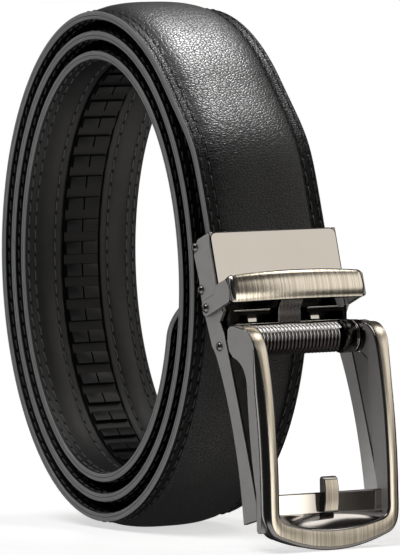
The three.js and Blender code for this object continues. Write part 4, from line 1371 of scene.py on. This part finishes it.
# The clamp plate's face takes the painted highlight, its bevel the painted dark
piece(clamp_plate(), "clamp_plate", [PAINTED_HIGHLIGHT, PAINTED_DARK], "base", "polished", [], bevel=0.4, bevel_slot=1)
piece(keeper(), "keeper_bar", [KEEPER_BRUSHED, PAINTED_DARK, PAINTED_HIGHLIGHT], "base", "brushed", ["keeper"], sharp=40)
arms = piece(
    keeper_arms(), "keeper_arms", [SATIN, POLISHED], "base", "polished", [], bevel=0.2, bevel_slot=1
)
piece(
    chassis(), "chassis_plates", [PAINTED_DARK, PAINTED_HIGHLIGHT], "base", "polished", ["chassis"], bevel=0.1, segments=2
)
piece(return_spring(), "spring_coils", [STEEL], "base", "spring", ["return_spring"], sharp=60)
# The pawl takes the painted dark, with painted highlights on its bevels
piece(
    pawl(), "pawl_plate", [PAINTED_DARK, PAINTED_HIGHLIGHT, POLISHED], "frame", "polished", ["pawl"],
    sharp=40, bevel=0.14, segments=2, bevel_slot=1,
)
bars = piece(
    frame_hoop(), "frame_hoop", [BRUSHED, POLISHED, SATIN], "frame", "brushed", ["main_frame"], sharp=50
)
bar_covers = piece(
    frame_sides(), "frame_sides", [SATIN, POLISHED], "frame", "polished", [], bevel=0.2, bevel_slot=1
)
piece(lower_bar(), "lower_bar_back", [POLISHED, PAINTED_HIGHLIGHT], "frame", "polished", [], sharp=14)
piece(
    prong_stub(), "prong_post", [BRUSHED, POLISHED], "frame", "brushed", ["prong_stub"],
    bevel=0.3, bevel_slot=1,
)

# Pins and rivets: name, CAD node, sides, place, and the plate's outer face and the shank's end
UPPER_PIN = at_clamp(CLAMP_PLATE_START + 2.1, JAW_FACE - 3.2)
LOWER_PIN = at_clamp(CLAMP_PLATE_END - 3.4, JAW_FACE - 3.5)
KEEPER_RIVET = at_clamp(CLAMP_PLATE_END + 2.1, -3.2)
ARM_RIVET = (7.9, PIN_Z - 1.6)
for name, node, sides, place, outer, inner in (
    ("upper_jaw_pin", "jaw_pin_upper", (1, -1), UPPER_PIN, PLATE_OUTER, 0),
    ("lower_jaw_pin", "jaw_pin_lower", (1, -1), LOWER_PIN, PLATE_OUTER, 0),
    ("right_keeper_rivet", "keeper_rivet_right", (1,), KEEPER_RIVET, KEEPER_HALF, FLANGE_INNER),
    ("left_keeper_rivet", "keeper_rivet_left", (-1,), KEEPER_RIVET, KEEPER_HALF, FLANGE_INNER),
    ("right_arm_rivet", "arm_rivet_right", (1,), ARM_RIVET, PLATE_OUTER, FLANGE_INNER),
    ("left_arm_rivet", "arm_rivet_left", (-1,), ARM_RIVET, PLATE_OUTER, FLANGE_INNER),
):
    shape = rivet([(side, place) for side in sides], outer, inner)
    piece(shape, name, [POLISHED], "base", "polished", [node], sharp=50)

add_lamp("leather_lamp", (0.365, 0.17, 0.915), 0.8, (0, -0.04, 0.127), 0.2, 14, [leather])
SIDE_LIT = [arms_and_plates, bars, bar_covers, arms]
add_lamp("side_lamp", (-0.5, 0.866, 0), 0.8, (0, -0.06, 0.03), 0.5, 0.34, SIDE_LIT, [bars])
bpy.context.scene.view_settings.view_transform = "Standard"
